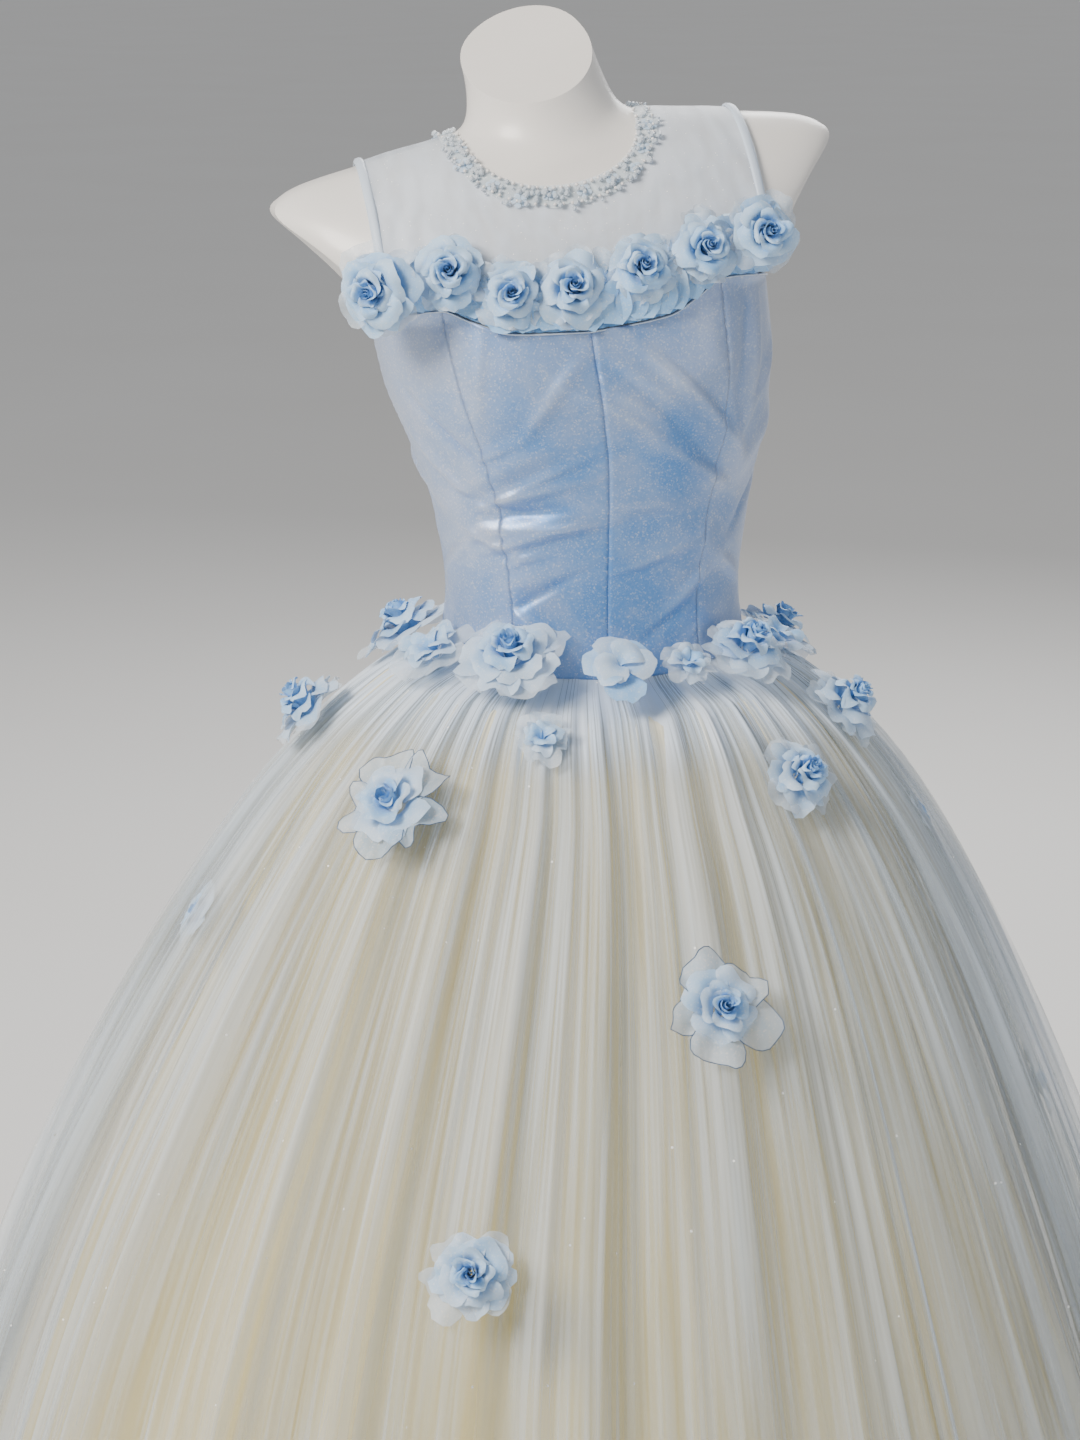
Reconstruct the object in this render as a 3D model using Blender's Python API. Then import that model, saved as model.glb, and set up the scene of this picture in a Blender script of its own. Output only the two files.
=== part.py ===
"""Ball gown on a white dress form, at real size in metres.

+Z is up, the front faces -Y and +X is the wearer's left. The origin is on the floor under
the middle of the hem. Heights in the tables are measured from the waist seam, and angles
round the figure from the centre front towards +X.
"""

import math
from collections import namedtuple

import bmesh
import bpy
import numpy as np
from mathutils import Matrix, Vector
from mathutils.bvhtree import BVHTree

# Driving sizes
WAIST_SEAM_Z = 1.000
SEAM_GAP = 0.0003
SATIN_THICK = 0.0018
SHEER_THICK = 0.0015
TULLE_THICK = 0.0020
BODY_EASE = 0.0030
HEM_CLEAR = 0.010
SEAM_LAP = 0.006
EDGE_CLEAR = 0.0009

# How closely a wall is tried against what it lies on, and the step that it is lifted by
LAY_REACH = 0.012
LAY_SHARES = (0.0, 0.25, 0.5, 0.75, 1.0)
LAY_ROUNDS = 3
LIFT_STEP, LIFT_ROUNDS = 0.0002, 30
NUDGE, NUDGE_DEGREES = 0.004, 1.0

# The figure, as levels from the hip cut to the shoulders
Level = namedtuple("Level", "height half_width front back")
FIGURE = (
    Level(-0.215, 0.148, 0.098, 0.110),
    Level(-0.160, 0.160, 0.108, 0.122),
    Level(-0.100, 0.157, 0.104, 0.118),
    Level(-0.040, 0.130, 0.092, 0.096),
    Level(0.000, 0.1125, 0.086, 0.084),
    Level(0.045, 0.1070, 0.083, 0.080),
    Level(0.105, 0.1145, 0.089, 0.086),
    Level(0.170, 0.1310, 0.106, 0.095),
    Level(0.215, 0.1410, 0.118, 0.099),
    Level(0.260, 0.1430, 0.113, 0.099),
    Level(0.300, 0.1430, 0.105, 0.095),
    Level(0.400, 0.1430, 0.094, 0.086),
)
FIGURE_WAIST = FIGURE[4]
ROUNDNESS = 2.25
BUST_ANGLE, BUST_SPREAD, BUST_HEIGHT, BUST_TALL, BUST_RISE = 36.0, 20.0, 0.205, 0.055, 0.045

# Shoulders: the ridge falls away from the neck, and each arm is cut off by a slanting plane
Ridge = namedtuple("Ridge", "from_centre height")
RIDGE = (
    Ridge(0.000, 0.385),
    Ridge(0.070, 0.385),
    Ridge(0.100, 0.382),
    Ridge(0.1425, 0.3755),
    Ridge(0.190, 0.3680),
    Ridge(0.214, 0.3555),
    Ridge(0.240, 0.3270),
)
ARMPIT_HEIGHT, ARMPIT_RISE, ARM_HALF_WIDTH = 0.260, 0.055, 0.236
ARM_CUT_START, ARM_CUT_HEIGHT, ARM_CUT_SLOPE = 0.148, 0.268, 0.80
SHOULDER_ROUND = 2.2
RIDGE_BACK = 0.012

# Rings of the form above the armpits: how far each reaches and its height at sides and middle
ArmRing = namedtuple("ArmRing", "side middle")
ARM_RINGS = (
    ArmRing(0.273, 0.273),
    ArmRing(0.292, 0.290),
    ArmRing(0.314, 0.308),
    ArmRing(0.334, 0.323),
    ArmRing(0.3495, 0.334),
)
ShoulderRing = namedtuple("ShoulderRing", "reach middle")
SHOULDER_RINGS = (
    ShoulderRing(0.2060, 0.341),
    ShoulderRing(0.1900, 0.347),
    ShoulderRing(0.1650, 0.352),
    ShoulderRing(0.1350, 0.357),
    ShoulderRing(0.1050, 0.362),
    ShoulderRing(0.0800, 0.367),
)
RIDGE_SOFTEN = 0.0010
UNDERARM_RING = 0.238

# Neck of the form, with its slanting cap
NECK_BASE_R, NECK_TOP_R, NECK_BASE, NECK_BASE_SIDE = 0.0580, 0.0485, 0.373, 0.017
NECK_BLEND_LOW, NECK_BLEND_HIGH = 0.330, 0.365
CAP_HEIGHT, CAP_SLOPE, CAP_SIDE_SLOPE = 0.436, 0.63, 0.09
NECK_SHARES = (0.0, 0.35, 0.70, 1.0)

# The figure's stance: its middle and its tilt at each height above the waist seam
HIP_SHIFT, HIP_SHIFT_DEPTH = 0.0235, 0.500
Stance = namedtuple("Stance", "height shift degrees")
STANCE = (
    Stance(0.000, 0.0000, 0.0),
    Stance(0.060, -0.0003, 1.5),
    Stance(0.120, -0.0010, 3.5),
    Stance(0.150, -0.0025, 4.5),
    Stance(0.182, -0.0070, 5.0),
    Stance(0.215, -0.0125, 5.2),
    Stance(0.260, -0.0195, 5.6),
    Stance(0.330, -0.0275, 7.2),
    Stance(0.400, -0.0390, 8.0),
    Stance(0.450, -0.0530, 9.5),
)

# Bodice seams from the centre front to the centre back, as angles at the waist and the top edge
Seam = namedtuple("Seam", "waist_angle top_angle")
SEAMS = (
    Seam(0.0, 0.0),
    Seam(34.5, 41.0),
    Seam(90.0, 90.0),
    Seam(143.0, 137.0),
    Seam(180.0, 180.0),
)
PANELS = ("centre_front", "side_front", "side_back", "centre_back")
PANEL_COLUMNS, PANEL_ROWS = 4, 9
Edge = namedtuple("Edge", "angle top waist")
BODICE_EDGES = (
    Edge(0.0, 0.2510, -0.012),
    Edge(20.0, 0.2550, -0.010),
    Edge(31.0, 0.2650, -0.007),
    Edge(41.0, 0.2740, -0.004),
    Edge(62.0, 0.2700, 0.000),
    Edge(90.0, 0.2610, 0.000),
    Edge(135.0, 0.2560, 0.000),
    Edge(180.0, 0.2530, 0.000),
)

# Drag lines in the satin: soft ridges that fan from the waist and the bust
Crease = namedtuple("Crease", "angle height length width slope depth")
CREASES = (
    Crease(-36.0, 0.150, 0.050, 0.010, 0.35, 0.0035),
    Crease(-30.0, 0.108, 0.060, 0.011, 0.15, 0.0040),
    Crease(-26.0, 0.066, 0.055, 0.010, 0.30, 0.0030),
    Crease(22.0, 0.180, 0.060, 0.012, -0.55, 0.0025),
    Crease(30.0, 0.085, 0.050, 0.011, -0.10, 0.0025),
    Crease(-62.0, 0.120, 0.045, 0.012, -0.40, 0.0030),
    Crease(66.0, 0.150, 0.050, 0.012, 0.45, 0.0030),
    Crease(150.0, 0.070, 0.055, 0.011, 0.20, 0.0030),
    Crease(-152.0, 0.095, 0.055, 0.011, -0.20, 0.0030),
)

# Yoke, its bindings, and the gathered band that carries the roses
YOKE_HALF_WIDTH = 0.1425
YOKE_EASE = 0.0008
YOKE_X = (SEAM_GAP / 2, 0.022, 0.040, 0.054, 0.0640, 0.082, 0.106, 0.126, YOKE_HALF_WIDTH)
YOKE_ROWS = 5
NECK_HALF_WIDTH, NECK_FRONT, NECK_BACK = 0.0640, 0.349, 0.366
BINDING_WIDTH, BINDING_THICK = 0.0065, 0.0014
BINDING_ROWS = 16
NECK_BAND_WIDTH, NECK_BAND_THICK, NECK_SIDES, NECK_TOP_POWER = 0.0120, 0.0018, 30, 4
BAND_HEIGHT, BAND_HALF_WIDTH, BAND_COLUMNS, BAND_GATHER = 0.040, 0.132, 32, 0.0012

# The flap that laps over the opening down the centre back
FLAP_WIDTH, FLAP_THICK, FLAP_ROWS = 0.0140, 0.0015, 14

# Skirt outline, as drops below the waist seam, with the height of its gathers and folds
Drop = namedtuple("Drop", "drop half_width front back gather fold")
SKIRT = (
    Drop(0.000, 0.1125, 0.086, 0.084, 0.0015, 0.0000),
    Drop(0.020, 0.1480, 0.116, 0.121, 0.0030, 0.0015),
    Drop(0.060, 0.1960, 0.166, 0.176, 0.0045, 0.0040),
    Drop(0.130, 0.2540, 0.230, 0.243, 0.0060, 0.0070),
    Drop(0.260, 0.3320, 0.318, 0.332, 0.0070, 0.0110),
    Drop(0.470, 0.4280, 0.420, 0.434, 0.0080, 0.0150),
    Drop(WAIST_SEAM_Z - HEM_CLEAR, 0.6050, 0.605, 0.610, 0.0100, 0.0220),
)
Layer = namedtuple("Layer", "name ease inset folds share columns drops")
LAYERS = (
    Layer("skirt_tulle_top", 0.0060, 0.000, 48, 1.00, 72, (0, 1, 2, 3, 4, 5, 6)),
    Layer("skirt_tulle_under", 0.0036, 0.032, 32, 0.72, 48, (0, 1, 2, 4, 5, 6)),
    Layer("skirt_lining", 0.0012, 0.060, 24, 0.40, 36, (0, 1, 2, 4, 6)),
)
TOP, UNDER, LINING_LAYER = LAYERS
FOLDS, FOLD_START = 24, 0.9
Wave = namedtuple("Wave", "count size start")
SPACING_WAVES = (Wave(3, 0.055, 0.8), Wave(5, 0.035, 2.1))
FOLD_SIZE_WAVES = (Wave(3, 0.125, 4.44), Wave(11, 0.125, 1.30))
FOLD_SIZE = 0.75
ROUND_BELOW = 0.100
INSET_BELOW = 0.300

# Flowers: the profile of a rose and of an open blossom, as shares of radius and height
Turn = namedtuple("Turn", "radius rise lobe")
ROSE_PROFILE = (
    Turn(0.28, 0.00, 0.00),
    Turn(0.34, 0.14, 0.00),
    Turn(0.92, 0.40, 0.09),
    Turn(0.66, 0.48, 0.04),
    Turn(0.68, 0.80, 0.08),
    Turn(0.40, 0.76, 0.02),
    Turn(0.34, 1.00, 0.10),
)
BLOSSOM_PROFILE = (
    Turn(0.26, 0.00, 0.00),
    Turn(0.32, 0.22, 0.00),
    Turn(0.88, 0.66, 0.14),
    Turn(0.82, 0.86, 0.14),
    Turn(0.34, 0.70, 0.04),
    Turn(0.24, 1.00, 0.00),
)
LOBE_LIFT, HEART_DEPTH, ROSE_PETALS = 0.35, 0.22, 5
SEAT_REACH = 0.060

NeckRose = namedtuple("NeckRose", "x above_edge radius rise spin turn")
NECK_ROSES = (
    NeckRose(-0.132, 0.026, 0.0245, 0.026, 10.0, -12.0),
    NeckRose(-0.091, 0.028, 0.0200, 0.026, 40.0, 0.0),
    NeckRose(-0.051, 0.025, 0.0190, 0.026, 5.0, 0.0),
    NeckRose(-0.009, 0.027, 0.0215, 0.026, 60.0, 0.0),
    NeckRose(0.041, 0.033, 0.0205, 0.027, 25.0, 0.0),
    NeckRose(0.086, 0.027, 0.0205, 0.025, 75.0, 0.0),
    NeckRose(0.127, 0.029, 0.0205, 0.026, 15.0, -5.0),
)
Flower = namedtuple("Flower", "angle drop radius rise petals open spin")
WAIST_FLOWERS = (
    Flower(-104.0, 0.010, 0.0290, 0.027, 5, False, 0.0),
    Flower(-64.0, 0.008, 0.0240, 0.020, 5, True, 30.0),
    Flower(-29.0, 0.008, 0.0290, 0.027, 5, False, 50.0),
    Flower(-16.0, 0.044, 0.0150, 0.014, 4, True, 45.0),
    Flower(1.0, 0.012, 0.0240, 0.016, 4, True, 45.0),
    Flower(21.5, 0.009, 0.0150, 0.013, 4, True, 20.0),
    Flower(46.0, 0.008, 0.0240, 0.026, 5, False, 20.0),
    Flower(72.0, 0.009, 0.0220, 0.020, 5, True, 10.0),
    Flower(98.0, 0.014, 0.0260, 0.024, 5, False, 70.0),
)
SKIRT_FLOWERS = (
    Flower(-92.0, 0.064, 0.0320, 0.028, 5, False, 15.0),
    Flower(-42.5, 0.092, 0.0420, 0.026, 6, True, 40.0),
    Flower(10.5, 0.204, 0.0380, 0.026, 6, False, 25.0),
    Flower(-16.5, 0.356, 0.0300, 0.026, 5, False, 55.0),
    Flower(35.5, 0.078, 0.0280, 0.028, 5, False, 30.0),
    Flower(63.5, 0.050, 0.0300, 0.028, 5, False, 65.0),
)
VEILED_FLOWERS = (
    Flower(-86.0, 0.214, 0.0210, 0.011, 5, True, 0.0),
    Flower(84.5, 0.150, 0.0180, 0.009, 5, True, 10.0),
    Flower(82.5, 0.374, 0.0240, 0.012, 5, True, 45.0),
)

# Stand of the dress form
FORM_SIDE_ANGLE, FORM_COLUMNS = 84.0, 15
POLE_R, FLANGE_R, FLANGE_THICK = 0.0140, 0.0380, 0.0060
BASE_R, BASE_THICK, BASE_BEVEL, BOSS_R, BOSS_HEIGHT = 0.170, 0.0120, 0.003, 0.0300, 0.0300
ROUND_SIDES = 24

Finish = namedtuple("Finish", "name colour roughness metallic alpha")
FORM_WHITE = Finish("form_white", (0.90, 0.89, 0.87), 0.42, 0.0, 1.0)
STEEL = Finish("steel", (0.72, 0.73, 0.75), 0.30, 1.0, 1.0)
SATIN = Finish("satin_blue", (0.36, 0.55, 0.78), 0.38, 0.15, 1.0)
SHEER = Finish("yoke_sheer", (0.80, 0.87, 0.95), 0.60, 0.0, 0.85)
BINDING = Finish("binding", (0.72, 0.81, 0.92), 0.60, 0.0, 1.0)
TULLE_TOP = Finish("tulle_blue", (0.80, 0.87, 0.92), 0.70, 0.0, 0.55)
TULLE_UNDER = Finish("tulle_ivory", (0.90, 0.88, 0.80), 0.70, 0.0, 0.65)
LINING = Finish("lining_champagne", (0.86, 0.78, 0.60), 0.50, 0.0, 1.0)
PETAL = Finish("petal_blue", (0.60, 0.78, 0.94), 0.65, 0.0, 1.0)


def clear_scene():
    for old in list(bpy.data.objects):
        bpy.data.objects.remove(old)


def material(finish):
    """The finish as a Principled material, made once."""
    found = bpy.data.materials.get(finish.name)
    if found:
        return found
    made = bpy.data.materials.new(finish.name)
    made.use_nodes = True
    shader = made.node_tree.nodes["Principled BSDF"]
    shader.inputs["Base Color"].default_value = (*finish.colour, 1.0)
    shader.inputs["Roughness"].default_value = finish.roughness
    shader.inputs["Metallic"].default_value = finish.metallic
    shader.inputs["Alpha"].default_value = finish.alpha
    return made


def add_object(name, points, faces, finish):
    """A closed object of triangles with its faces turned outwards."""
    mesh = bpy.data.meshes.new(name)
    mesh.from_pydata([tuple(p) for p in points], [], faces)
    solid = bmesh.new()
    solid.from_mesh(mesh)
    bmesh.ops.triangulate(solid, faces=solid.faces)
    bmesh.ops.recalc_face_normals(solid, faces=solid.faces)
    if solid.calc_volume(signed=True) < 0.0:
        bmesh.ops.reverse_faces(solid, faces=solid.faces)
    solid.to_mesh(mesh)
    solid.free()
    mesh.materials.append(material(finish))
    mesh.shade_smooth()
    made = bpy.data.objects.new(name, mesh)
    bpy.context.scene.collection.objects.link(made)
    return made


def smooth_between(table_x, table_y, x):
    """A curve through the table's points that doesn't overshoot them."""
    table_x, table_y = np.asarray(table_x, float), np.asarray(table_y, float)
    steps = np.diff(table_x)
    slopes = np.diff(table_y) / steps
    same_way = slopes[:-1] * slopes[1:] > 0
    total = np.where(same_way, slopes[:-1] + slopes[1:], 1.0)
    inner = np.where(same_way, 2 * slopes[:-1] * slopes[1:] / total, 0.0)
    tangents = np.concatenate([[slopes[0]], inner, [slopes[-1]]])
    x = np.clip(np.asarray(x, float), table_x[0], table_x[-1])
    i = np.clip(np.searchsorted(table_x, x, side="right") - 1, 0, len(steps) - 1)
    u = (x - table_x[i]) / steps[i]
    start = (1 + 2 * u) * (1 - u) ** 2 * table_y[i] + u * (1 - u) ** 2 * steps[i] * tangents[i]
    end = u * u * (3 - 2 * u) * table_y[i + 1] - u * u * (1 - u) * steps[i] * tangents[i + 1]
    return start + end


def column(rows, field, x, by):
    """One column of a named table, read at x along the column by."""
    return smooth_between([getattr(r, by) for r in rows], [getattr(r, field) for r in rows], x)


def smoothstep(x, low, high):
    u = np.clip((np.asarray(x, float) - low) / (high - low), 0.0, 1.0)
    return u * u * (3 - 2 * u)


def signed_power(value, power):
    return np.sign(value) * np.abs(value) ** power


def hip_shift(height):
    """How far the figure stands to the side of the hem's middle at a height from the seam."""
    return HIP_SHIFT * smoothstep(height, -HIP_SHIFT_DEPTH, 0.0)


def stand_up(x, y, height):
    """World points of figure points, with the figure's sideways shift and tilt."""
    x, y, height = np.broadcast_arrays(*(np.asarray(v, float) for v in (x, y, height)))
    tilt = np.radians(column(STANCE, "degrees", height, "height"))
    middle = hip_shift(height) + column(STANCE, "shift", height, "height")
    return np.stack([middle + x * np.cos(tilt), y, WAIST_SEAM_Z + height + x * np.sin(tilt)], axis=-1)


def half_width(height):
    return column(FIGURE, "half_width", height, "height")


def arm_width(height):
    """Half width with the arms, which start at the armpit."""
    grown = smoothstep(height, ARMPIT_HEIGHT, ARMPIT_HEIGHT + ARMPIT_RISE)
    return half_width(height) + (ARM_HALF_WIDTH - half_width(height)) * grown


def ridge_height(x):
    return column(RIDGE, "height", np.abs(x), "from_centre")


def bust(angle, height):
    """The bust's rise as a share of the depth."""
    across = (np.abs(angle) - BUST_ANGLE) / BUST_SPREAD
    up = (height - BUST_HEIGHT) / BUST_TALL
    return BUST_RISE * np.exp(-across * across - up * up)


def skin_y(x, height, front, ease=0.0):
    """y of the figure's surface at x and a height, moved out by ease, for the front or the back."""
    across, width = np.abs(x), half_width(height) + ease
    depths = [column(FIGURE, field, height, "height") for field in ("front", "back")]
    depth = np.where(front, *depths)
    share = np.clip(across / (arm_width(height) + ease), 0.0, 1.0)
    depth = (depth + ease) * (1 - share**ROUNDNESS) ** (1 / ROUNDNESS)
    angle = np.degrees(np.arcsin(np.clip(across / width, 0.0, 1.0)))
    depth = depth * np.where(front, 1 + bust(angle, height), 1.0)
    up = np.clip((height - ARMPIT_HEIGHT) / (ridge_height(x) + ease - ARMPIT_HEIGHT), 0.0, 1.0)
    depth = depth * (1 - up**SHOULDER_ROUND) ** (1 / SHOULDER_ROUND)
    return RIDGE_BACK * up + np.where(front, -depth, depth)


def torso_point(angle, height, ease):
    """World point round the body below the arms, at an angle in degrees from the centre front."""
    angle = (np.asarray(angle, float) + 180.0) % 360.0 - 180.0
    x = (half_width(height) + ease) * signed_power(np.sin(np.radians(angle)), 2 / ROUNDNESS)
    return stand_up(x, skin_y(x, height, np.abs(angle) <= 90.0, ease), height)


def grid_faces(rows, columns, first, wraps):
    """Quads of a grid of points that starts at index first."""
    across = columns if wraps else columns - 1
    return [
        (
            first + r * columns + c,
            first + r * columns + (c + 1) % columns,
            first + (r + 1) * columns + (c + 1) % columns,
            first + (r + 1) * columns + c,
        )
        for r in range(rows - 1)
        for c in range(across)
    ]


def add_wall(name, outer, inner, finish, wraps=False):
    """A cloth wall between two grids of points, closed round its edges."""
    rows, columns = outer.shape[:2]
    count = rows * columns
    faces = grid_faces(rows, columns, 0, wraps)
    faces += [face[::-1] for face in grid_faces(rows, columns, count, wraps)]
    for c in range(columns if wraps else columns - 1):
        for start in (0, (rows - 1) * columns):
            a, b = start + c, start + (c + 1) % columns
            faces.append((a, b, b + count, a + count))
    if not wraps:
        for r in range(rows - 1):
            for edge in (0, columns - 1):
                a, b = r * columns + edge, (r + 1) * columns + edge
                faces.append((a, b, b + count, a + count))
    points = np.concatenate([outer.reshape(-1, 3), inner.reshape(-1, 3)])
    return add_object(name, points, faces, finish)


def tree_of(objects):
    """A search tree of several objects together."""
    points, faces = [], []
    for each in objects:
        first = len(points)
        points += [v.co.copy() for v in each.data.vertices]
        faces += [tuple(first + i for i in p.vertices) for p in each.data.polygons]
    return BVHTree.FromPolygons(points, faces)


def short_of(tree, places, ways):
    """The furthest that any of these places must move along its way to clear the tree."""
    worst = 0.0
    for place, way in zip(places, ways):
        start = Vector(place + way * LAY_REACH)
        hit = tree.ray_cast(start, Vector(-way), 2 * LAY_REACH)[0]
        if hit is not None:
            worst = max(worst, float((np.array(hit) - place) @ way) + SEAM_GAP)
    return worst


def let_out(tree, grid, ways):
    """How far each point of a grid must move out for the faces round it to clear the tree."""
    u, v = (s.reshape(-1, 1) for s in np.meshgrid(LAY_SHARES, LAY_SHARES))
    need = np.zeros(grid.shape[:2])

    def spread(field, r, c):
        low = field[r, c] * (1 - v) + field[r, c + 1] * v
        high = field[r + 1, c] * (1 - v) + field[r + 1, c + 1] * v
        return low * (1 - u) + high * u

    for r in range(grid.shape[0] - 1):
        for c in range(grid.shape[1] - 1):
            worst = short_of(tree, spread(grid, r, c), spread(ways, r, c))
            corners = need[r : r + 2, c : c + 2]
            np.maximum(corners, worst, out=corners)
    return need


def crossing_points(made, tree):
    """The points of every face of an object that crosses the tree."""
    faces = [tuple(p.vertices) for p in made.data.polygons]
    own = BVHTree.FromPolygons([v.co for v in made.data.vertices], faces)
    return sorted({i for face, _ in own.overlap(tree) for i in faces[face]})


def lay_wall(name, point_at, ease, thick, finish, carriers):
    """A wall at an ease from the figure, let out wherever it would touch what it lies on."""
    tree = tree_of(carriers)
    for _ in range(LAY_ROUNDS):
        inner = point_at(ease)
        ways = point_at(ease + thick) - inner
        ways = ways / np.linalg.norm(ways, axis=-1, keepdims=True)
        ease = ease + let_out(tree, inner, ways)
    made = add_wall(name, point_at(ease + thick), point_at(ease), finish)
    for _ in range(LIFT_ROUNDS):
        caught = crossing_points(made, tree)
        if not caught:
            break
        lift = np.zeros(ease.size)
        lift[np.array(caught) % ease.size] = LIFT_STEP
        ease = ease + lift.reshape(ease.shape)
        points = np.concatenate([point_at(ease + thick), point_at(ease)]).reshape(-1, 3)
        made.data.vertices.foreach_set("co", points.ravel())
    return made


def crease_rise(angle, height):
    """How far the satin stands proud at a point, from the table of drag lines."""
    total = 0.0
    for crease in CREASES:
        across = np.radians(angle - crease.angle) * half_width(height)
        up = height - crease.height - crease.slope * across
        total = total + crease.depth * np.exp(-((across / crease.length) ** 2) - (up / crease.width) ** 2)
    return total


def bodice_edge(angle, field):
    return column(BODICE_EDGES, field, np.abs(angle), "angle")


def bodice_panel(name, first, last, sign, carriers):
    """One bodice panel between two seams, on the wearer's left (sign 1) or right (sign -1)."""
    across = np.linspace(0.0, 1.0, PANEL_COLUMNS + 1)
    up = np.linspace(0.0, 1.0, PANEL_ROWS + 1)[:, None]
    low = first.waist_angle + (first.top_angle - first.waist_angle) * up
    high = last.waist_angle + (last.top_angle - last.waist_angle) * up
    trim = np.degrees(SEAM_GAP / 2 / FIGURE_WAIST.back)
    angle = low + trim + (high - low - 2 * trim) * across
    waist, top = bodice_edge(angle, "waist"), bodice_edge(angle, "top")
    height = waist + (top - waist) * up
    angle = sign * angle
    ease = BODY_EASE + crease_rise(angle, height)

    def point_at(ease):
        return torso_point(angle, height, ease)

    return lay_wall(name, point_at, ease, SATIN_THICK, SATIN, carriers)


def add_bodice(carriers):
    return [
        bodice_panel(f"bodice_{panel}_{side}", first, last, sign, carriers)
        for panel, first, last in zip(PANELS, SEAMS, SEAMS[1:])
        for side, sign in (("left", 1), ("right", -1))
    ]


def edge_height_at(x, front):
    """Height of the bodice's top edge at x, on the front or the back."""
    share = np.clip(np.abs(x) / (half_width(ARMPIT_HEIGHT) + BODY_EASE), 0.0, 1.0)
    turn = np.degrees(np.arcsin(share ** (ROUNDNESS / 2)))
    return bodice_edge(np.where(front, turn, 180.0 - turn), "top")


def neckline_height(x, front, grow=0.0):
    """Height of the round neckline at x, on the front or the back."""
    lowest = np.where(front, NECK_FRONT, NECK_BACK) - grow
    across = np.clip(np.abs(x) / (NECK_HALF_WIDTH + grow), 0.0, 1.0)
    return ridge_height(x) - (ridge_height(x) - lowest) * np.sqrt(1 - across * across)


def figure_point(x, height, front, ease):
    """World point on the front or the back of the figure at an ease."""
    return stand_up(x, skin_y(x, height, front, ease), height)


def add_yoke_piece(name, x, front, carriers):
    """A sheer yoke piece from inside the bodice's top edge to the shoulder and the neckline."""
    low = edge_height_at(x, front) - SEAM_LAP
    share = np.sin(np.linspace(0.0, math.pi / 2, YOKE_ROWS + 1))[:, None]

    def point_at(ease):
        high = np.where(np.abs(x) < NECK_HALF_WIDTH, neckline_height(x, front), ridge_height(x) + ease)
        points = figure_point(x, low + (high - low) * share, front, ease)
        points[..., 1] += -SEAM_GAP / 2 if front else SEAM_GAP / 2
        return points

    ease = np.full((YOKE_ROWS + 1, len(x)), YOKE_EASE)
    return lay_wall(name, point_at, ease, SHEER_THICK, SHEER, carriers)


def add_yoke(carriers):
    """The yoke's front, and its back in two pieces that part down the centre."""
    half = np.array(YOKE_X)
    middle = half.copy()
    middle[0] = 0.0
    across = np.concatenate([-middle[:0:-1], middle])
    return [
        add_yoke_piece("yoke_front", across, True, carriers),
        add_yoke_piece("yoke_back_left", half, False, carriers),
        add_yoke_piece("yoke_back_right", -half[::-1], False, carriers),
    ]


def add_armhole_binding(name, sign, carriers):
    """A narrow strip over the yoke's armhole edge, from the front over the shoulder to the back."""
    x = sign * np.array([YOKE_HALF_WIDTH - BINDING_WIDTH, YOKE_HALF_WIDTH])
    share = np.linspace(0.0, 2.0, BINDING_ROWS + 1)[:, None]
    front = share < 1.0
    climb = np.sin(np.where(front, share, 2.0 - share) * math.pi / 2)
    low = edge_height_at(x, front) + EDGE_CLEAR

    def point_at(ease):
        return figure_point(x, low + (ridge_height(x) + ease - low) * climb, front, ease)

    ease = np.full((BINDING_ROWS + 1, len(x)), YOKE_EASE + SHEER_THICK + SEAM_GAP)
    return lay_wall(name, point_at, ease, BINDING_THICK, BINDING, carriers)


def add_neck_band(carriers):
    """The band on the yoke round its neckline, open at the centre back."""
    end = math.pi - SEAM_GAP / NECK_HALF_WIDTH
    turn = np.linspace(-end, end, NECK_SIDES + 1)
    grow = np.array([0.0, NECK_BAND_WIDTH])[:, None]
    x = (NECK_HALF_WIDTH + grow) * np.sin(turn)
    front = np.cos(turn) >= 0
    line = neckline_height(x, front, grow)
    top = np.abs(np.sin(turn)) ** NECK_TOP_POWER

    def point_at(ease):
        return figure_point(x, line + ease * top, front, ease)

    ease = np.full(x.shape, YOKE_EASE + SHEER_THICK + SEAM_GAP)
    return lay_wall("neck_band", point_at, ease, NECK_BAND_THICK, BINDING, carriers)


def add_rose_band(carriers):
    """The gathered strip just above the bodice's front edge, to which the roses are sewn."""
    x = BAND_HALF_WIDTH * np.linspace(-1.0, 1.0, BAND_COLUMNS + 1)
    up = np.linspace(0.0, 1.0, 3)[:, None]
    height = edge_height_at(x, True) + EDGE_CLEAR + BAND_HEIGHT * up

    def point_at(ease):
        return figure_point(x, height, True, ease)

    gather = BAND_GATHER * (np.arange(BAND_COLUMNS + 1) % 2)
    ease = YOKE_EASE + SHEER_THICK + SEAM_GAP + gather + 0.0 * up
    return lay_wall("rose_band", point_at, ease, SHEER_THICK, PETAL, carriers)


def add_back_flap(carriers):
    """The flap over the opening down the centre back, from the waist to the neck band."""
    low = bodice_edge(180.0, "waist") + EDGE_CLEAR
    high = NECK_BACK - NECK_BAND_WIDTH - EDGE_CLEAR
    height = np.linspace(low, high, FLAP_ROWS + 1)[:, None]
    x = np.linspace(-FLAP_WIDTH / 2, FLAP_WIDTH / 2, 3)

    def point_at(ease):
        return figure_point(x, height, False, ease)

    ease = np.full((FLAP_ROWS + 1, len(x)), YOKE_EASE + SHEER_THICK + SEAM_GAP)
    return lay_wall("back_flap", point_at, ease, FLAP_THICK, SATIN, carriers)


def waves(table, turn):
    """The sum of a table of sine waves round the skirt."""
    return sum(wave.size * np.sin(wave.count * turn + wave.start) for wave in table)


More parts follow.
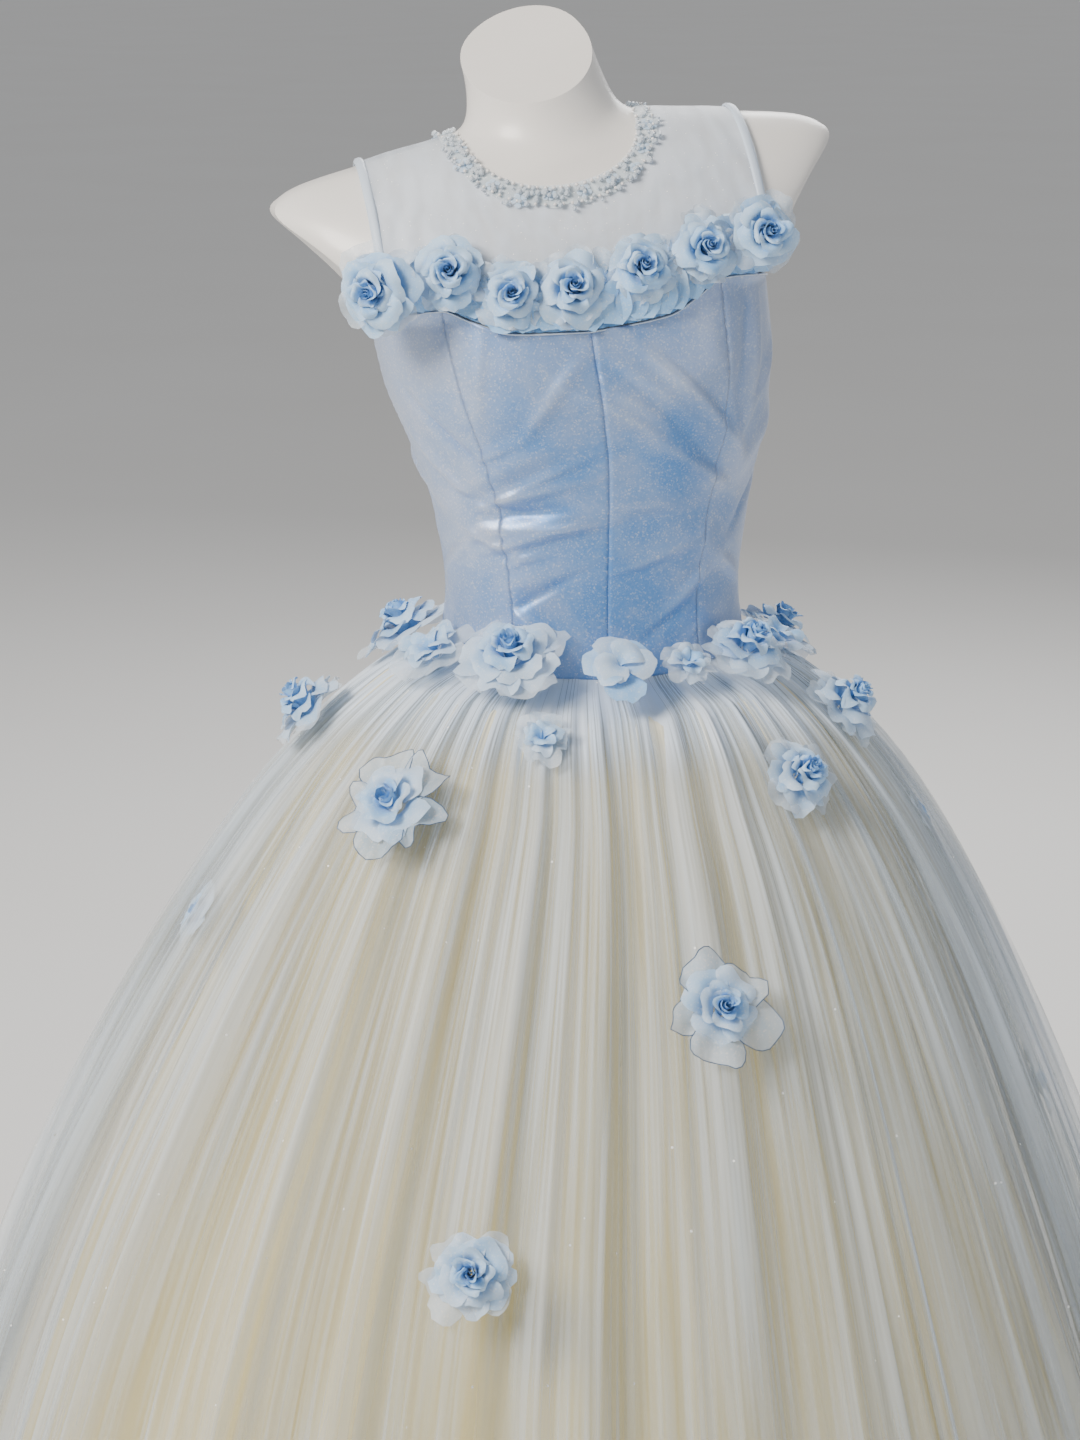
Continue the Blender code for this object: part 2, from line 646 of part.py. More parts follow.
def skirt_point(angle, drop, layer, ease):
    """World point on one skirt layer at an ease, with its gathers and folds."""
    turn = np.radians(angle)
    drop = np.asarray(drop, float)
    uneven = turn + waves(SPACING_WAVES, turn)
    gathers = np.cos(layer.folds * uneven) * column(SKIRT, "gather", drop, "drop")
    size = FOLD_SIZE + waves(FOLD_SIZE_WAVES, turn)
    folds = np.cos(FOLDS * uneven + FOLD_START) * column(SKIRT, "fold", drop, "drop") * size
    out = ease - layer.inset * smoothstep(drop, 0.0, INSET_BELOW) + layer.share * (gathers + folds)
    front, back = column(SKIRT, "front", drop, "drop"), column(SKIRT, "back", drop, "drop")
    wide = column(SKIRT, "half_width", drop, "drop") + out
    deep = np.where(np.cos(turn) >= 0, front, back) + out
    power = 2 / (ROUNDNESS + (2.0 - ROUNDNESS) * smoothstep(drop, 0.0, ROUND_BELOW))
    x = hip_shift(-drop) + wide * signed_power(np.sin(turn), power)
    y = -deep * signed_power(np.cos(turn), power)
    return np.stack([x, y, WAIST_SEAM_Z - drop + 0.0 * x], axis=-1)


def waist_line(angle, drop, lap):
    """Drops at the skirt's top that follow the bodice's lower edge, lapped inside it or below."""
    angle = (np.asarray(angle, float) + 180.0) % 360.0 - 180.0
    dip = -bodice_edge(angle, "waist") + lap
    return drop + dip * (1 - smoothstep(drop, 0.0, SKIRT[2].drop))


def add_skirt_piece(layer, finish, name, low, high, lap, carriers):
    """One piece of a skirt layer, between the seams at two angles."""
    drops = np.array([SKIRT[i].drop for i in layer.drops])[:, None]
    trim = np.degrees(SEAM_GAP / 2 / column(SKIRT, "front", drops, "drop"))
    columns = round(layer.columns * (high - low) / 180.0)
    angle = low + trim + (high - low - 2 * trim) * np.linspace(0.0, 1.0, columns + 1)
    drop = waist_line(angle, drops, lap)

    def point_at(ease):
        return skirt_point(angle, drop, layer, ease)

    return lay_wall(name, point_at, np.full(drop.shape, layer.ease), TULLE_THICK, finish, carriers)


def add_layer(layer, finish, lap, carriers):
    """The front of one skirt layer, and its back in two pieces with a centre seam."""
    pieces = (("front", -90.0, 90.0), ("back_left", 90.0, 180.0), ("back_right", 180.0, 270.0))
    return [
        add_skirt_piece(layer, finish, f"{layer.name}_{side}", low, high, lap, carriers)
        for side, low, high in pieces
    ]


def form_ring(reach, side, middle):
    """One ring of the torso, at the heights side and middle: the front across, then the back."""
    turn = np.radians(np.linspace(-FORM_SIDE_ANGLE, FORM_SIDE_ANGLE, FORM_COLUMNS))
    x = reach * signed_power(np.sin(turn), 2 / ROUNDNESS)
    height = middle + (side - middle) * np.sin(turn) ** 2
    grown = smoothstep(height, NECK_BLEND_LOW, NECK_BLEND_HIGH)
    neck = np.sqrt(np.maximum(NECK_BASE_R**2 - x * x, 0.0)) * grown
    front = np.maximum(-skin_y(x, height, True), 0.0)
    back = np.maximum(skin_y(x, height, False), 0.0)
    front = -(front**4 + np.maximum(neck - RIDGE_BACK, 0.0) ** 4) ** 0.25
    back = (back**4 + np.where(neck > 0.0, neck + RIDGE_BACK * grown, 0.0) ** 4) ** 0.25
    rings = stand_up(x, front, height), stand_up(x, back, height)[::-1]
    return np.concatenate(rings)


def neck_ring(share):
    """One ring of the neck, from its base to the slanting cap."""
    turn = np.radians(np.linspace(-FORM_SIDE_ANGLE, FORM_SIDE_ANGLE, FORM_COLUMNS))
    turn = np.concatenate([turn, math.pi - turn[::-1]])
    radius = NECK_TOP_R + (NECK_BASE_R - NECK_TOP_R) * (1 - share) ** 2
    x, y = radius * np.sin(turn), RIDGE_BACK - radius * np.cos(turn)
    cap = CAP_HEIGHT + CAP_SLOPE * (y - RIDGE_BACK) + CAP_SIDE_SLOPE * x
    start = NECK_BASE + NECK_BASE_SIDE * np.sin(turn) ** 2
    return stand_up(x, y, start + (cap - start) * share)


def add_form():
    """The torso, closed below at the hips and above by the neck's cap."""
    heights = sorted([level.height for level in FIGURE if level.height <= ARMPIT_HEIGHT] + [UNDERARM_RING])
    rings = [form_ring(float(half_width(h)), h, h) for h in heights]
    for ring in ARM_RINGS:
        reach = ARM_CUT_START + ARM_CUT_SLOPE * (ring.side - ARM_CUT_HEIGHT)
        rings.append(form_ring(reach, ring.side, ring.middle))
    for ring in SHOULDER_RINGS:
        side = float(ridge_height(ring.reach)) - RIDGE_SOFTEN
        rings.append(form_ring(ring.reach, side, ring.middle))
    rings += [neck_ring(share) for share in NECK_SHARES]
    rings = np.stack(rings)
    rows, columns = rings.shape[:2]
    faces = grid_faces(rows, columns, 0, True)
    faces.append(tuple(range(columns)))
    faces.append(tuple(range((rows - 1) * columns, rows * columns)))
    return add_object("form_torso", rings.reshape(-1, 3), faces, FORM_WHITE)


def add_turned(name, profile, centre_x, finish):
    """A round solid turned about a vertical axis, from (radius, z) pairs, bottom to top."""
    turn = np.linspace(0.0, 2 * math.pi, ROUND_SIDES, endpoint=False)
    points = [(centre_x + r * math.cos(a), r * math.sin(a), z) for r, z in profile for a in turn]
    faces = grid_faces(len(profile), ROUND_SIDES, 0, True)
    faces.append(tuple(range(ROUND_SIDES)))
    faces.append(tuple(range((len(profile) - 1) * ROUND_SIDES, len(profile) * ROUND_SIDES)))
    return add_object(name, points, faces, finish)


def add_stand():
    """The pole under the torso and the round base on the floor."""
    hip = FIGURE[0].height
    centre_x = float(hip_shift(hip))
    under = WAIST_SEAM_Z + hip - SEAM_GAP
    boss = BASE_THICK + BOSS_HEIGHT
    base = [
        (BASE_R, 0.0),
        (BASE_R, BASE_THICK - BASE_BEVEL),
        (BASE_R - BASE_BEVEL, BASE_THICK),
        (BOSS_R, BASE_THICK),
        (BOSS_R, boss - BASE_BEVEL),
        (BOSS_R - BASE_BEVEL, boss),
    ]
    pole = [
        (POLE_R, boss + SEAM_GAP),
        (POLE_R, under - FLANGE_THICK),
        (FLANGE_R, under - FLANGE_THICK),
        (FLANGE_R, under),
    ]
    add_turned("form_base", base, centre_x, STEEL)
    add_turned("form_pole", pole, centre_x, STEEL)


def flower_mesh(profile, radius, rise, petals, spin):
    """Points and faces of one flower, with its back on z = 0 and its petals as lobes."""
    sides = 2 * petals
    points, faces = [], []
    for ring, turn in enumerate(profile):
        for k in range(sides):
            angle = math.radians(spin) + 2 * math.pi * (k + 0.5 * (ring % 2)) / sides
            lobe = turn.lobe if k % 2 == 0 else -turn.lobe
            r = radius * turn.radius * (1 + lobe)
            points.append((r * math.cos(angle), r * math.sin(angle), rise * (turn.rise + LOBE_LIFT * lobe)))
    faces += grid_faces(len(profile), sides, 0, True)
    faces.append(tuple(range(sides)))
    last = (len(profile) - 1) * sides
    points.append((0.0, 0.0, rise * (profile[-1].rise - HEART_DEPTH)))
    faces += [(last + k, last + (k + 1) % sides, len(points) - 1) for k in range(sides)]
    return np.array(points), faces


def seat_flower(name, mesh_points, faces, place, normal, carriers):
    """Moves a flower along its normal until its back is just clear of what carries it."""
    normal = Vector(normal).normalized()
    side = Vector((0.0, 0.0, 1.0)).cross(normal).normalized()
    turn = Matrix((side, normal.cross(side), normal)).transposed()
    points = [turn @ Vector(p) + Vector(place) for p in mesh_points]
    tree = tree_of(carriers)
    tried = [np.array(p) for p in points]
    for face in faces:
        ring = [tried[i] for i in face]
        tried.append(sum(ring) / len(ring))
        tried += [(a + b) / 2 for a, b in zip(ring, ring[1:] + ring[:1])]
    way = np.array(normal)
    clear = []
    for p in tried:
        hit = tree.ray_cast(Vector(p + way * SEAT_REACH), -normal, 2 * SEAT_REACH)[0]
        if hit is not None:
            clear.append((p - np.array(hit)) @ way)
    made = add_object(name, [p + normal * (SEAM_GAP - min(clear)) for p in points], faces, PETAL)
    for _ in range(LIFT_ROUNDS):
        if not crossing_points(made, tree):
            break
        made.data.transform(Matrix.Translation(normal * LIFT_STEP))
    return made


def add_neck_roses(carriers):
    """The roses sewn along the gathered band, from the wearer's right to left."""
    ease = YOKE_EASE + 2 * SHEER_THICK + SEAM_GAP
    for number, rose in enumerate(NECK_ROSES, 1):
        height = float(edge_height_at(rose.x, True)) + rose.above_edge
        place = figure_point(rose.x, height, True, ease)
        along = figure_point(rose.x + NUDGE, height, True, ease) - place
        up = figure_point(rose.x, height + NUDGE, True, ease) - place
        normal = Matrix.Rotation(math.radians(rose.turn), 3, "Z") @ Vector(np.cross(along, up))
        points, faces = flower_mesh(ROSE_PROFILE, rose.radius, rose.rise, ROSE_PETALS, rose.spin)
        seat_flower(f"rose_neck_{number}", points, faces, place, normal, carriers)


def add_flowers(prefix, flowers, layer, carriers):
    """A table of flowers sewn on one skirt layer."""
    plain = layer._replace(share=0.0)
    for number, flower in enumerate(flowers, 1):
        here = skirt_point(flower.angle, flower.drop, plain, layer.ease)
        ahead = skirt_point(flower.angle + NUDGE_DEGREES, flower.drop, plain, layer.ease)
        below = skirt_point(flower.angle, flower.drop + NUDGE, plain, layer.ease)
        normal = np.cross(ahead - here, here - below)
        profile = BLOSSOM_PROFILE if flower.open else ROSE_PROFILE
        points, faces = flower_mesh(profile, flower.radius, flower.rise, flower.petals, flower.spin)
        seat_flower(f"{prefix}_{number}", points, faces, here, normal, carriers)


def build():
    clear_scene()
    add_stand()
    form = add_form()
    lining = add_layer(LINING_LAYER, LINING, -SEAM_LAP, [form])
    yoke = add_yoke([form])
    bodice = add_bodice([form] + yoke + lining)
    body = [form] + yoke + bodice
    bindings = [
        add_armhole_binding("binding_left", 1, body),
        add_armhole_binding("binding_right", -1, body),
    ]
    neck_band = add_neck_band([form] + yoke)
    add_back_flap(body + [neck_band])
    band = add_rose_band(body)
    under = add_layer(UNDER, TULLE_UNDER, EDGE_CLEAR, lining)
    top = add_layer(TOP, TULLE_TOP, EDGE_CLEAR, under)
    add_neck_roses(body + bindings + [band])
    add_flowers("flower_waist", WAIST_FLOWERS, TOP, top + bodice)
    add_flowers("flower_skirt", SKIRT_FLOWERS, TOP, top)
    add_flowers("flower_veiled", VEILED_FLOWERS, UNDER, under)


build()
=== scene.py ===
"""Looks of a ball gown on a white dress form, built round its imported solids.

Every length is in metres. +Z is up, the front faces -Y and +X is the wearer's left. Heights on
the figure are measured from the waist seam, and angles from the centre front towards +X.
"""

import logging
import math
from collections.abc import Callable, Sequence
from dataclasses import dataclass, field
from enum import Enum
from typing import NamedTuple

import bmesh
import bpy
import numpy as np
from mathutils import Matrix, Vector

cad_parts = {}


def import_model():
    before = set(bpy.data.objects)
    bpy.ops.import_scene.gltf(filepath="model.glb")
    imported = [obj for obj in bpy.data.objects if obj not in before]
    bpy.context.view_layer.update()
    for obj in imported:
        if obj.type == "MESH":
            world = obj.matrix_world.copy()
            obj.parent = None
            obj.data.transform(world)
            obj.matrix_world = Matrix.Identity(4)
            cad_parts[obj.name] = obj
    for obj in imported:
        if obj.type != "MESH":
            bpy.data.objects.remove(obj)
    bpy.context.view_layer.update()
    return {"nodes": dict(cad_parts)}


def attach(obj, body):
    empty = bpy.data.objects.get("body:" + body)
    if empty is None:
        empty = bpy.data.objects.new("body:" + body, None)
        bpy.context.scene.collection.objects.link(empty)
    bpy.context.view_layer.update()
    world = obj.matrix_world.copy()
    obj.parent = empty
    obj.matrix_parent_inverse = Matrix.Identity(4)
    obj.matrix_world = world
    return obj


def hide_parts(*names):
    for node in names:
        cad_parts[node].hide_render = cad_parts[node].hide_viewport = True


Array = np.ndarray
Colour = tuple[float, float, float, float]
Material, Piece = bpy.types.Material, bpy.types.Object
Tree, Node, Socket = bpy.types.NodeTree, bpy.types.Node, bpy.types.NodeSocket
LOG = logging.getLogger("gown")
BODY = "root"

# Sizes shared with the solids
WAIST_Z = 1.000
HEM_CLEAR = 0.010
SEAM_LAP = 0.006
EDGE_CLEAR = 0.0009
SEAM_GAP = 0.0003
ROUNDNESS = 2.25
HIP_SHIFT, HIP_SHIFT_DEPTH = 0.0235, 0.500
ARMPIT_HEIGHT, ARMPIT_RISE, ARM_HALF_WIDTH = 0.260, 0.055, 0.236
SHOULDER_ROUND, RIDGE_BACK = 2.2, 0.012
BODY_EASE = 0.0030
NECK_HALF_WIDTH, NECK_FRONT, NECK_BACK = 0.0640, 0.349, 0.366


class Level(NamedTuple):
    """One level of the figure, from the hip cut to the shoulders."""

    height: float
    half_width: float
    front: float
    back: float


class Ridge(NamedTuple):
    """One point of the shoulder line."""

    from_centre: float
    height: float


class Stance(NamedTuple):
    """How far the figure's middle is moved and tilted at a height."""

    height: float
    shift: float
    degrees: float


class Edge(NamedTuple):
    """The bodice's top and lower edges at an angle."""

    angle: float
    top: float
    waist: float


class Drop(NamedTuple):
    """The skirt's outline and the height of its gathers and folds at a drop below the waist."""

    drop: float
    half_width: float
    front: float
    back: float
    gather: float
    fold: float
    fine: float


class Crease(NamedTuple):
    """A soft ridge, or a trough where depth is negative, in the satin."""

    angle: float
    height: float
    length: float
    width: float
    slope: float
    depth: float


class Wave(NamedTuple):
    """A sine wave round the skirt."""

    count: int
    size: float
    start: float


FIGURE_LEVELS = (
    Level(-0.215, 0.148, 0.098, 0.110),
    Level(-0.160, 0.160, 0.108, 0.122),
    Level(-0.100, 0.157, 0.104, 0.118),
    Level(-0.040, 0.130, 0.092, 0.096),
    Level(0.000, 0.1125, 0.086, 0.084),
    Level(0.045, 0.1070, 0.083, 0.080),
    Level(0.105, 0.1145, 0.089, 0.086),
    Level(0.170, 0.1310, 0.106, 0.095),
    Level(0.215, 0.1410, 0.118, 0.099),
    Level(0.260, 0.1430, 0.113, 0.099),
    Level(0.300, 0.1430, 0.105, 0.095),
    Level(0.400, 0.1430, 0.094, 0.086),
)
SHOULDER_LINE = (
    Ridge(0.000, 0.385),
    Ridge(0.070, 0.385),
    Ridge(0.100, 0.382),
    Ridge(0.1425, 0.3755),
    Ridge(0.190, 0.3680),
    Ridge(0.214, 0.3555),
    Ridge(0.240, 0.3270),
)
STANCES = (
    Stance(0.000, 0.0000, 0.0),
    Stance(0.060, -0.0003, 1.5),
    Stance(0.120, -0.0010, 3.5),
    Stance(0.150, -0.0025, 4.5),
    Stance(0.182, -0.0070, 5.0),
    Stance(0.215, -0.0125, 5.2),
    Stance(0.260, -0.0195, 5.6),
    Stance(0.330, -0.0275, 7.2),
    Stance(0.400, -0.0390, 8.0),
    Stance(0.450, -0.0530, 9.5),
)
BODICE_EDGES = (
    Edge(0.0, 0.2510, -0.012),
    Edge(20.0, 0.2550, -0.010),
    Edge(31.0, 0.2650, -0.007),
    Edge(41.0, 0.2740, -0.004),
    Edge(62.0, 0.2700, 0.000),
    Edge(90.0, 0.2610, 0.000),
    Edge(135.0, 0.2560, 0.000),
    Edge(180.0, 0.2530, 0.000),
)
SKIRT_OUTLINE = (
    Drop(0.000, 0.1125, 0.086, 0.084, 0.0015, 0.0000, 0.0012),
    Drop(0.020, 0.1480, 0.116, 0.121, 0.0030, 0.0015, 0.0022),
    Drop(0.060, 0.1960, 0.166, 0.176, 0.0045, 0.0040, 0.0030),
    Drop(0.130, 0.2540, 0.230, 0.243, 0.0060, 0.0070, 0.0036),
    Drop(0.260, 0.3320, 0.318, 0.332, 0.0070, 0.0110, 0.0042),
    Drop(0.470, 0.4280, 0.420, 0.434, 0.0080, 0.0150, 0.0050),
    Drop(WAIST_Z - HEM_CLEAR, 0.6050, 0.605, 0.610, 0.0100, 0.0220, 0.0070),
)
# Broad drag lines that the solids have too, then the finer ones that only the looks have
CREASES = (
    Crease(-36.0, 0.150, 0.050, 0.010, 0.35, 0.0035),
    Crease(-30.0, 0.108, 0.060, 0.011, 0.15, 0.0040),
    Crease(-26.0, 0.066, 0.055, 0.010, 0.30, 0.0030),
    Crease(22.0, 0.180, 0.060, 0.012, -0.55, 0.0025),
    Crease(30.0, 0.085, 0.050, 0.011, -0.10, 0.0025),
    Crease(-62.0, 0.120, 0.045, 0.012, -0.40, 0.0030),
    Crease(66.0, 0.150, 0.050, 0.012, 0.45, 0.0030),
    Crease(150.0, 0.070, 0.055, 0.011, 0.20, 0.0030),
    Crease(-152.0, 0.095, 0.055, 0.011, -0.20, 0.0030),
    Crease(-30.0, 0.130, 0.040, 0.0050, 0.22, 0.0022),
    Crease(-27.0, 0.116, 0.042, 0.0055, 0.12, -0.0022),
    Crease(-26.0, 0.096, 0.040, 0.0045, 0.25, 0.0020),
    Crease(-30.0, 0.080, 0.030, 0.0045, 0.30, 0.0014),
    Crease(-35.0, 0.166, 0.022, 0.0040, 0.35, 0.0014),
    Crease(25.0, 0.200, 0.040, 0.0080, -1.05, 0.0022),
    Crease(17.0, 0.186, 0.042, 0.0080, -1.00, -0.0018),
    Crease(10.0, 0.175, 0.040, 0.0070, -0.90, 0.0014),
    Crease(30.0, 0.140, 0.032, 0.0055, -0.55, 0.0014),
    Crease(28.0, 0.045, 0.030, 0.0060, 0.80, 0.0018),
    Crease(20.0, 0.030, 0.026, 0.0060, 0.75, -0.0014),
    Crease(-53.0, 0.182, 0.030, 0.0060, -0.90, -0.0020),
    Crease(-60.0, 0.150, 0.030, 0.0060, -0.80, 0.0018),
    Crease(-66.0, 0.080, 0.030, 0.0060, 0.50, 0.0016),
    Crease(-30.0, 0.032, 0.016, 0.0050, -0.70, 0.0014),
    Crease(8.0, 0.118, 0.030, 0.0050, -0.10, 0.0010),
    Crease(-22.0, 0.142, 0.030, 0.0035, 0.45, 0.0013),
    Crease(-20.0, 0.104, 0.034, 0.0038, 0.08, 0.0013),
    Crease(-40.0, 0.124, 0.026, 0.0040, -0.25, -0.0015),
    Crease(-44.0, 0.094, 0.024, 0.0040, -0.40, 0.0014),
    Crease(-24.0, 0.052, 0.026, 0.0040, 0.55, -0.0012),
    Crease(-12.0, 0.205, 0.022, 0.0075, 1.10, 0.0014),
    Crease(-33.0, 0.222, 0.014, 0.0180, 2.60, 0.0016),
    Crease(49.0, 0.222, 0.014, 0.0200, 2.40, -0.0026),
    Crease(55.0, 0.205, 0.014, 0.0220, 2.80, 0.0026),
    Crease(44.0, 0.170, 0.016, 0.0180, -2.20, 0.0014),
    Crease(12.0, 0.075, 0.026, 0.0045, 0.30, 0.0012),
    Crease(60.0, 0.190, 0.030, 0.0065, 0.90, 0.0020),
    Crease(70.0, 0.110, 0.030, 0.0060, 0.60, -0.0018),
    Crease(58.0, 0.060, 0.026, 0.0055, -0.50, 0.0016),
    Crease(100.0, 0.130, 0.034, 0.0060, 0.40, 0.0018),
    Crease(112.0, 0.075, 0.032, 0.0060, -0.35, 0.0016),
    Crease(140.0, 0.160, 0.036, 0.0065, 0.50, 0.0018),
    Crease(158.0, 0.105, 0.036, 0.0060, 0.15, 0.0018),
    Crease(166.0, 0.050, 0.030, 0.0055, -0.25, 0.0016),
    Crease(-98.0, 0.150, 0.034, 0.0060, -0.45, 0.0018),
    Crease(-115.0, 0.080, 0.032, 0.0060, 0.30, 0.0016),
    Crease(-138.0, 0.170, 0.036, 0.0065, -0.50, 0.0018),
    Crease(-160.0, 0.125, 0.036, 0.0060, -0.15, 0.0018),
    Crease(-165.0, 0.060, 0.030, 0.0055, 0.30, -0.0014),
)
SPACING_WAVES = (Wave(3, 0.055, 0.8), Wave(5, 0.035, 2.1))
FOLD_SIZE_WAVES = (Wave(3, 0.125, 4.44), Wave(11, 0.125, 1.30))
FOLDS, FOLD_START, FOLD_SIZE = 24, 0.9, 0.75
ROUND_BELOW, INSET_BELOW = 0.100, 0.300


def smooth_between(table_x: Sequence[float], table_y: Sequence[float], x: Array) -> Array:
    """A curve through a table's points that doesn't overshoot them.

    Args:
        table_x: Rising positions.
        table_y: A value at each position.
        x: Where to read the curve.

    Returns:
        The curve's values at x.
    """
    known_x, known_y = np.asarray(table_x, float), np.asarray(table_y, float)
    steps = np.diff(known_x)
    slopes = np.diff(known_y) / steps
    same_way = slopes[:-1] * slopes[1:] > 0
    total = np.where(same_way, slopes[:-1] + slopes[1:], 1.0)
    inner = np.where(same_way, 2 * slopes[:-1] * slopes[1:] / total, 0.0)
    tangents = np.concatenate([[slopes[0]], inner, [slopes[-1]]])
    x = np.clip(np.asarray(x, float), known_x[0], known_x[-1])
    i = np.clip(np.searchsorted(known_x, x, side="right") - 1, 0, len(steps) - 1)
    u = (x - known_x[i]) / steps[i]
    start = (1 + 2 * u) * (1 - u) ** 2 * known_y[i] + u * (1 - u) ** 2 * steps[i] * tangents[i]
    end = u * u * (3 - 2 * u) * known_y[i + 1] - u * u * (1 - u) * steps[i] * tangents[i + 1]
    return start + end


def column(rows: Sequence[NamedTuple], name: str, x: Array, by: str) -> Array:
    """Reads one column of a named table.

    Args:
        rows: The table.
        name: The column to read.
        x: Where to read it.
        by: The column that x is measured along.

    Returns:
        The column's values at x.
    """
    return smooth_between([getattr(r, by) for r in rows], [getattr(r, name) for r in rows], x)


def smoothstep(x: Array, low: float, high: float) -> Array:
    """Rises smoothly from 0 at low to 1 at high."""
    u = np.clip((np.asarray(x, float) - low) / (high - low), 0.0, 1.0)
    return u * u * (3 - 2 * u)


def signed_power(value: Array, power: Array) -> Array:
    """A power that keeps the sign of its base."""
    return np.sign(value) * np.abs(value) ** power


def joined(x: Array, y: Array, z: Array) -> Array:
    """Points from coordinates that are broadcast together, along the last axis."""
    return np.stack(np.broadcast_arrays(x, y, z), axis=-1)


def waves(table: Sequence[Wave], turn: Array) -> Array:
    """The sum of a table of sine waves at the angles turn, in radians."""
    return sum(wave.size * np.sin(wave.count * turn + wave.start) for wave in table)


@dataclass(frozen=True)
class Figure:
    """The general figure under the cloth, with the sizes that the solids have."""

    bust_angle: float = 36.0
    bust_spread: float = 20.0
    bust_height: float = 0.205
    bust_tall: float = 0.055
    bust_rise: float = 0.045

    def hip_shift(self, height: Array) -> Array:
        """How far the figure stands to the side of the hem's middle."""
        return HIP_SHIFT * smoothstep(height, -HIP_SHIFT_DEPTH, 0.0)

    def stand_up(self, x: Array, y: Array, height: Array) -> Array:
        """World points of figure points, with the figure's shift and tilt.

        Args:
            x: Distance from the figure's middle.
            y: Depth.
            height: Height above the waist seam.

        Returns:
            Points, with x, y and z along the last axis.
        """
        x, y, height = np.broadcast_arrays(*(np.asarray(v, float) for v in (x, y, height)))
        tilt = np.radians(column(STANCES, "degrees", height, "height"))
        middle = self.hip_shift(height) + column(STANCES, "shift", height, "height")
        up = WAIST_Z + height + x * np.sin(tilt)
        return joined(middle + x * np.cos(tilt), y, up)

    def half_width(self, height: Array) -> Array:
        """Half the body's width at a height."""
        return column(FIGURE_LEVELS, "half_width", height, "height")

    def ridge_height(self, x: Array) -> Array:
        """Height of the shoulder line at x."""
        return column(SHOULDER_LINE, "height", np.abs(x), "from_centre")

    def skin_y(self, x: Array, height: Array, front: Array, ease: Array) -> Array:
        """y of the surface at x and a height.

        Args:
            x: Distance from the figure's middle.
            height: Height above the waist seam.
            front: Whether the front is meant, and not the back.
            ease: How far the surface is moved out.

        Returns:
            The y of each point.
        """
        across, width = np.abs(x), self.half_width(height)
        grown = smoothstep(height, ARMPIT_HEIGHT, ARMPIT_HEIGHT + ARMPIT_RISE)
        with_arms = width + (ARM_HALF_WIDTH - width) * grown
        depths = [column(FIGURE_LEVELS, side, height, "height") for side in ("front", "back")]
        share = np.clip(across / (with_arms + ease), 0.0, 1.0)
        depth = (np.where(front, *depths) + ease) * (1 - share**ROUNDNESS) ** (1 / ROUNDNESS)
        angle = np.degrees(np.arcsin(np.clip(across / (width + ease), 0.0, 1.0)))
        aside = (np.abs(angle) - self.bust_angle) / self.bust_spread
        above = (height - self.bust_height) / self.bust_tall
        rise = self.bust_rise * np.exp(-aside * aside - above * above)
        depth = depth * np.where(front, 1 + rise, 1.0)
        top = self.ridge_height(x) + ease
        up = np.clip((height - ARMPIT_HEIGHT) / (top - ARMPIT_HEIGHT), 0.0, 1.0)
        depth = depth * (1 - up**SHOULDER_ROUND) ** (1 / SHOULDER_ROUND)
        return RIDGE_BACK * up + np.where(front, -depth, depth)

    def point(self, x: Array, height: Array, front: Array, ease: Array) -> Array:
        """World points on the front or the back of the figure at an ease."""
        return self.stand_up(x, self.skin_y(x, height, front, ease), height)

    def round_point(self, angle: Array, height: Array, ease: Array) -> Array:
        """World points round the body below the arms, at an angle in degrees."""
        angle = (np.asarray(angle, float) + 180.0) % 360.0 - 180.0
        reach = self.half_width(height) + ease
        x = reach * signed_power(np.sin(np.radians(angle)), 2 / ROUNDNESS)
        return self.point(x, height, np.abs(angle) <= 90.0, ease)

    def bodice_edge(self, angle: Array, name: str) -> Array:
        """Height of the bodice's top or waist edge at an angle."""
        return column(BODICE_EDGES, name, np.abs(angle), "angle")

    def edge_at(self, x: Array, front: Array) -> Array:
        """Height of the bodice's top edge at x."""
        share = np.clip(np.abs(x) / (self.half_width(ARMPIT_HEIGHT) + BODY_EASE), 0.0, 1.0)
        turn = np.degrees(np.arcsin(share ** (ROUNDNESS / 2)))
        return self.bodice_edge(np.where(front, turn, 180.0 - turn), "top")

    def neckline(self, x: Array, front: Array, grow: Array = 0.0) -> Array:
        """Height of the round neckline at x, widened by grow."""
        lowest = np.where(front, NECK_FRONT, NECK_BACK) - grow
        across = np.clip(np.abs(x) / (NECK_HALF_WIDTH + grow), 0.0, 1.0)
        top = self.ridge_height(x)
        return top - (top - lowest) * np.sqrt(1 - across * across)

    def neck_point(self, turn: Array, grow: Array, ease: Array) -> Array:
        """World points on the neck band, by the angle round the neck and the distance down."""
        x = (NECK_HALF_WIDTH + grow) * np.sin(turn)
        front = np.cos(turn) >= 0
        height = self.neckline(x, front, grow) + ease * np.abs(np.sin(turn)) ** 4
        return self.point(x, height, front, ease)


FIGURE = Figure()


def grid_quads(rows: int, columns: int, wraps: bool) -> Array:
    """Faces of a grid of points.

    Args:
        rows: Rows of points.
        columns: Points in a row.
        wraps: Whether each row closes on itself.

    Returns:
        Four point numbers for each face.
    """
    across = columns if wraps else columns - 1
    r, c = np.meshgrid(np.arange(rows - 1), np.arange(across), indexing="ij")
    after = (c + 1) % columns
    low, high = r * columns, (r + 1) * columns
    return np.stack([low + c, low + after, high + after, high + c], axis=-1).reshape(-1, 4)


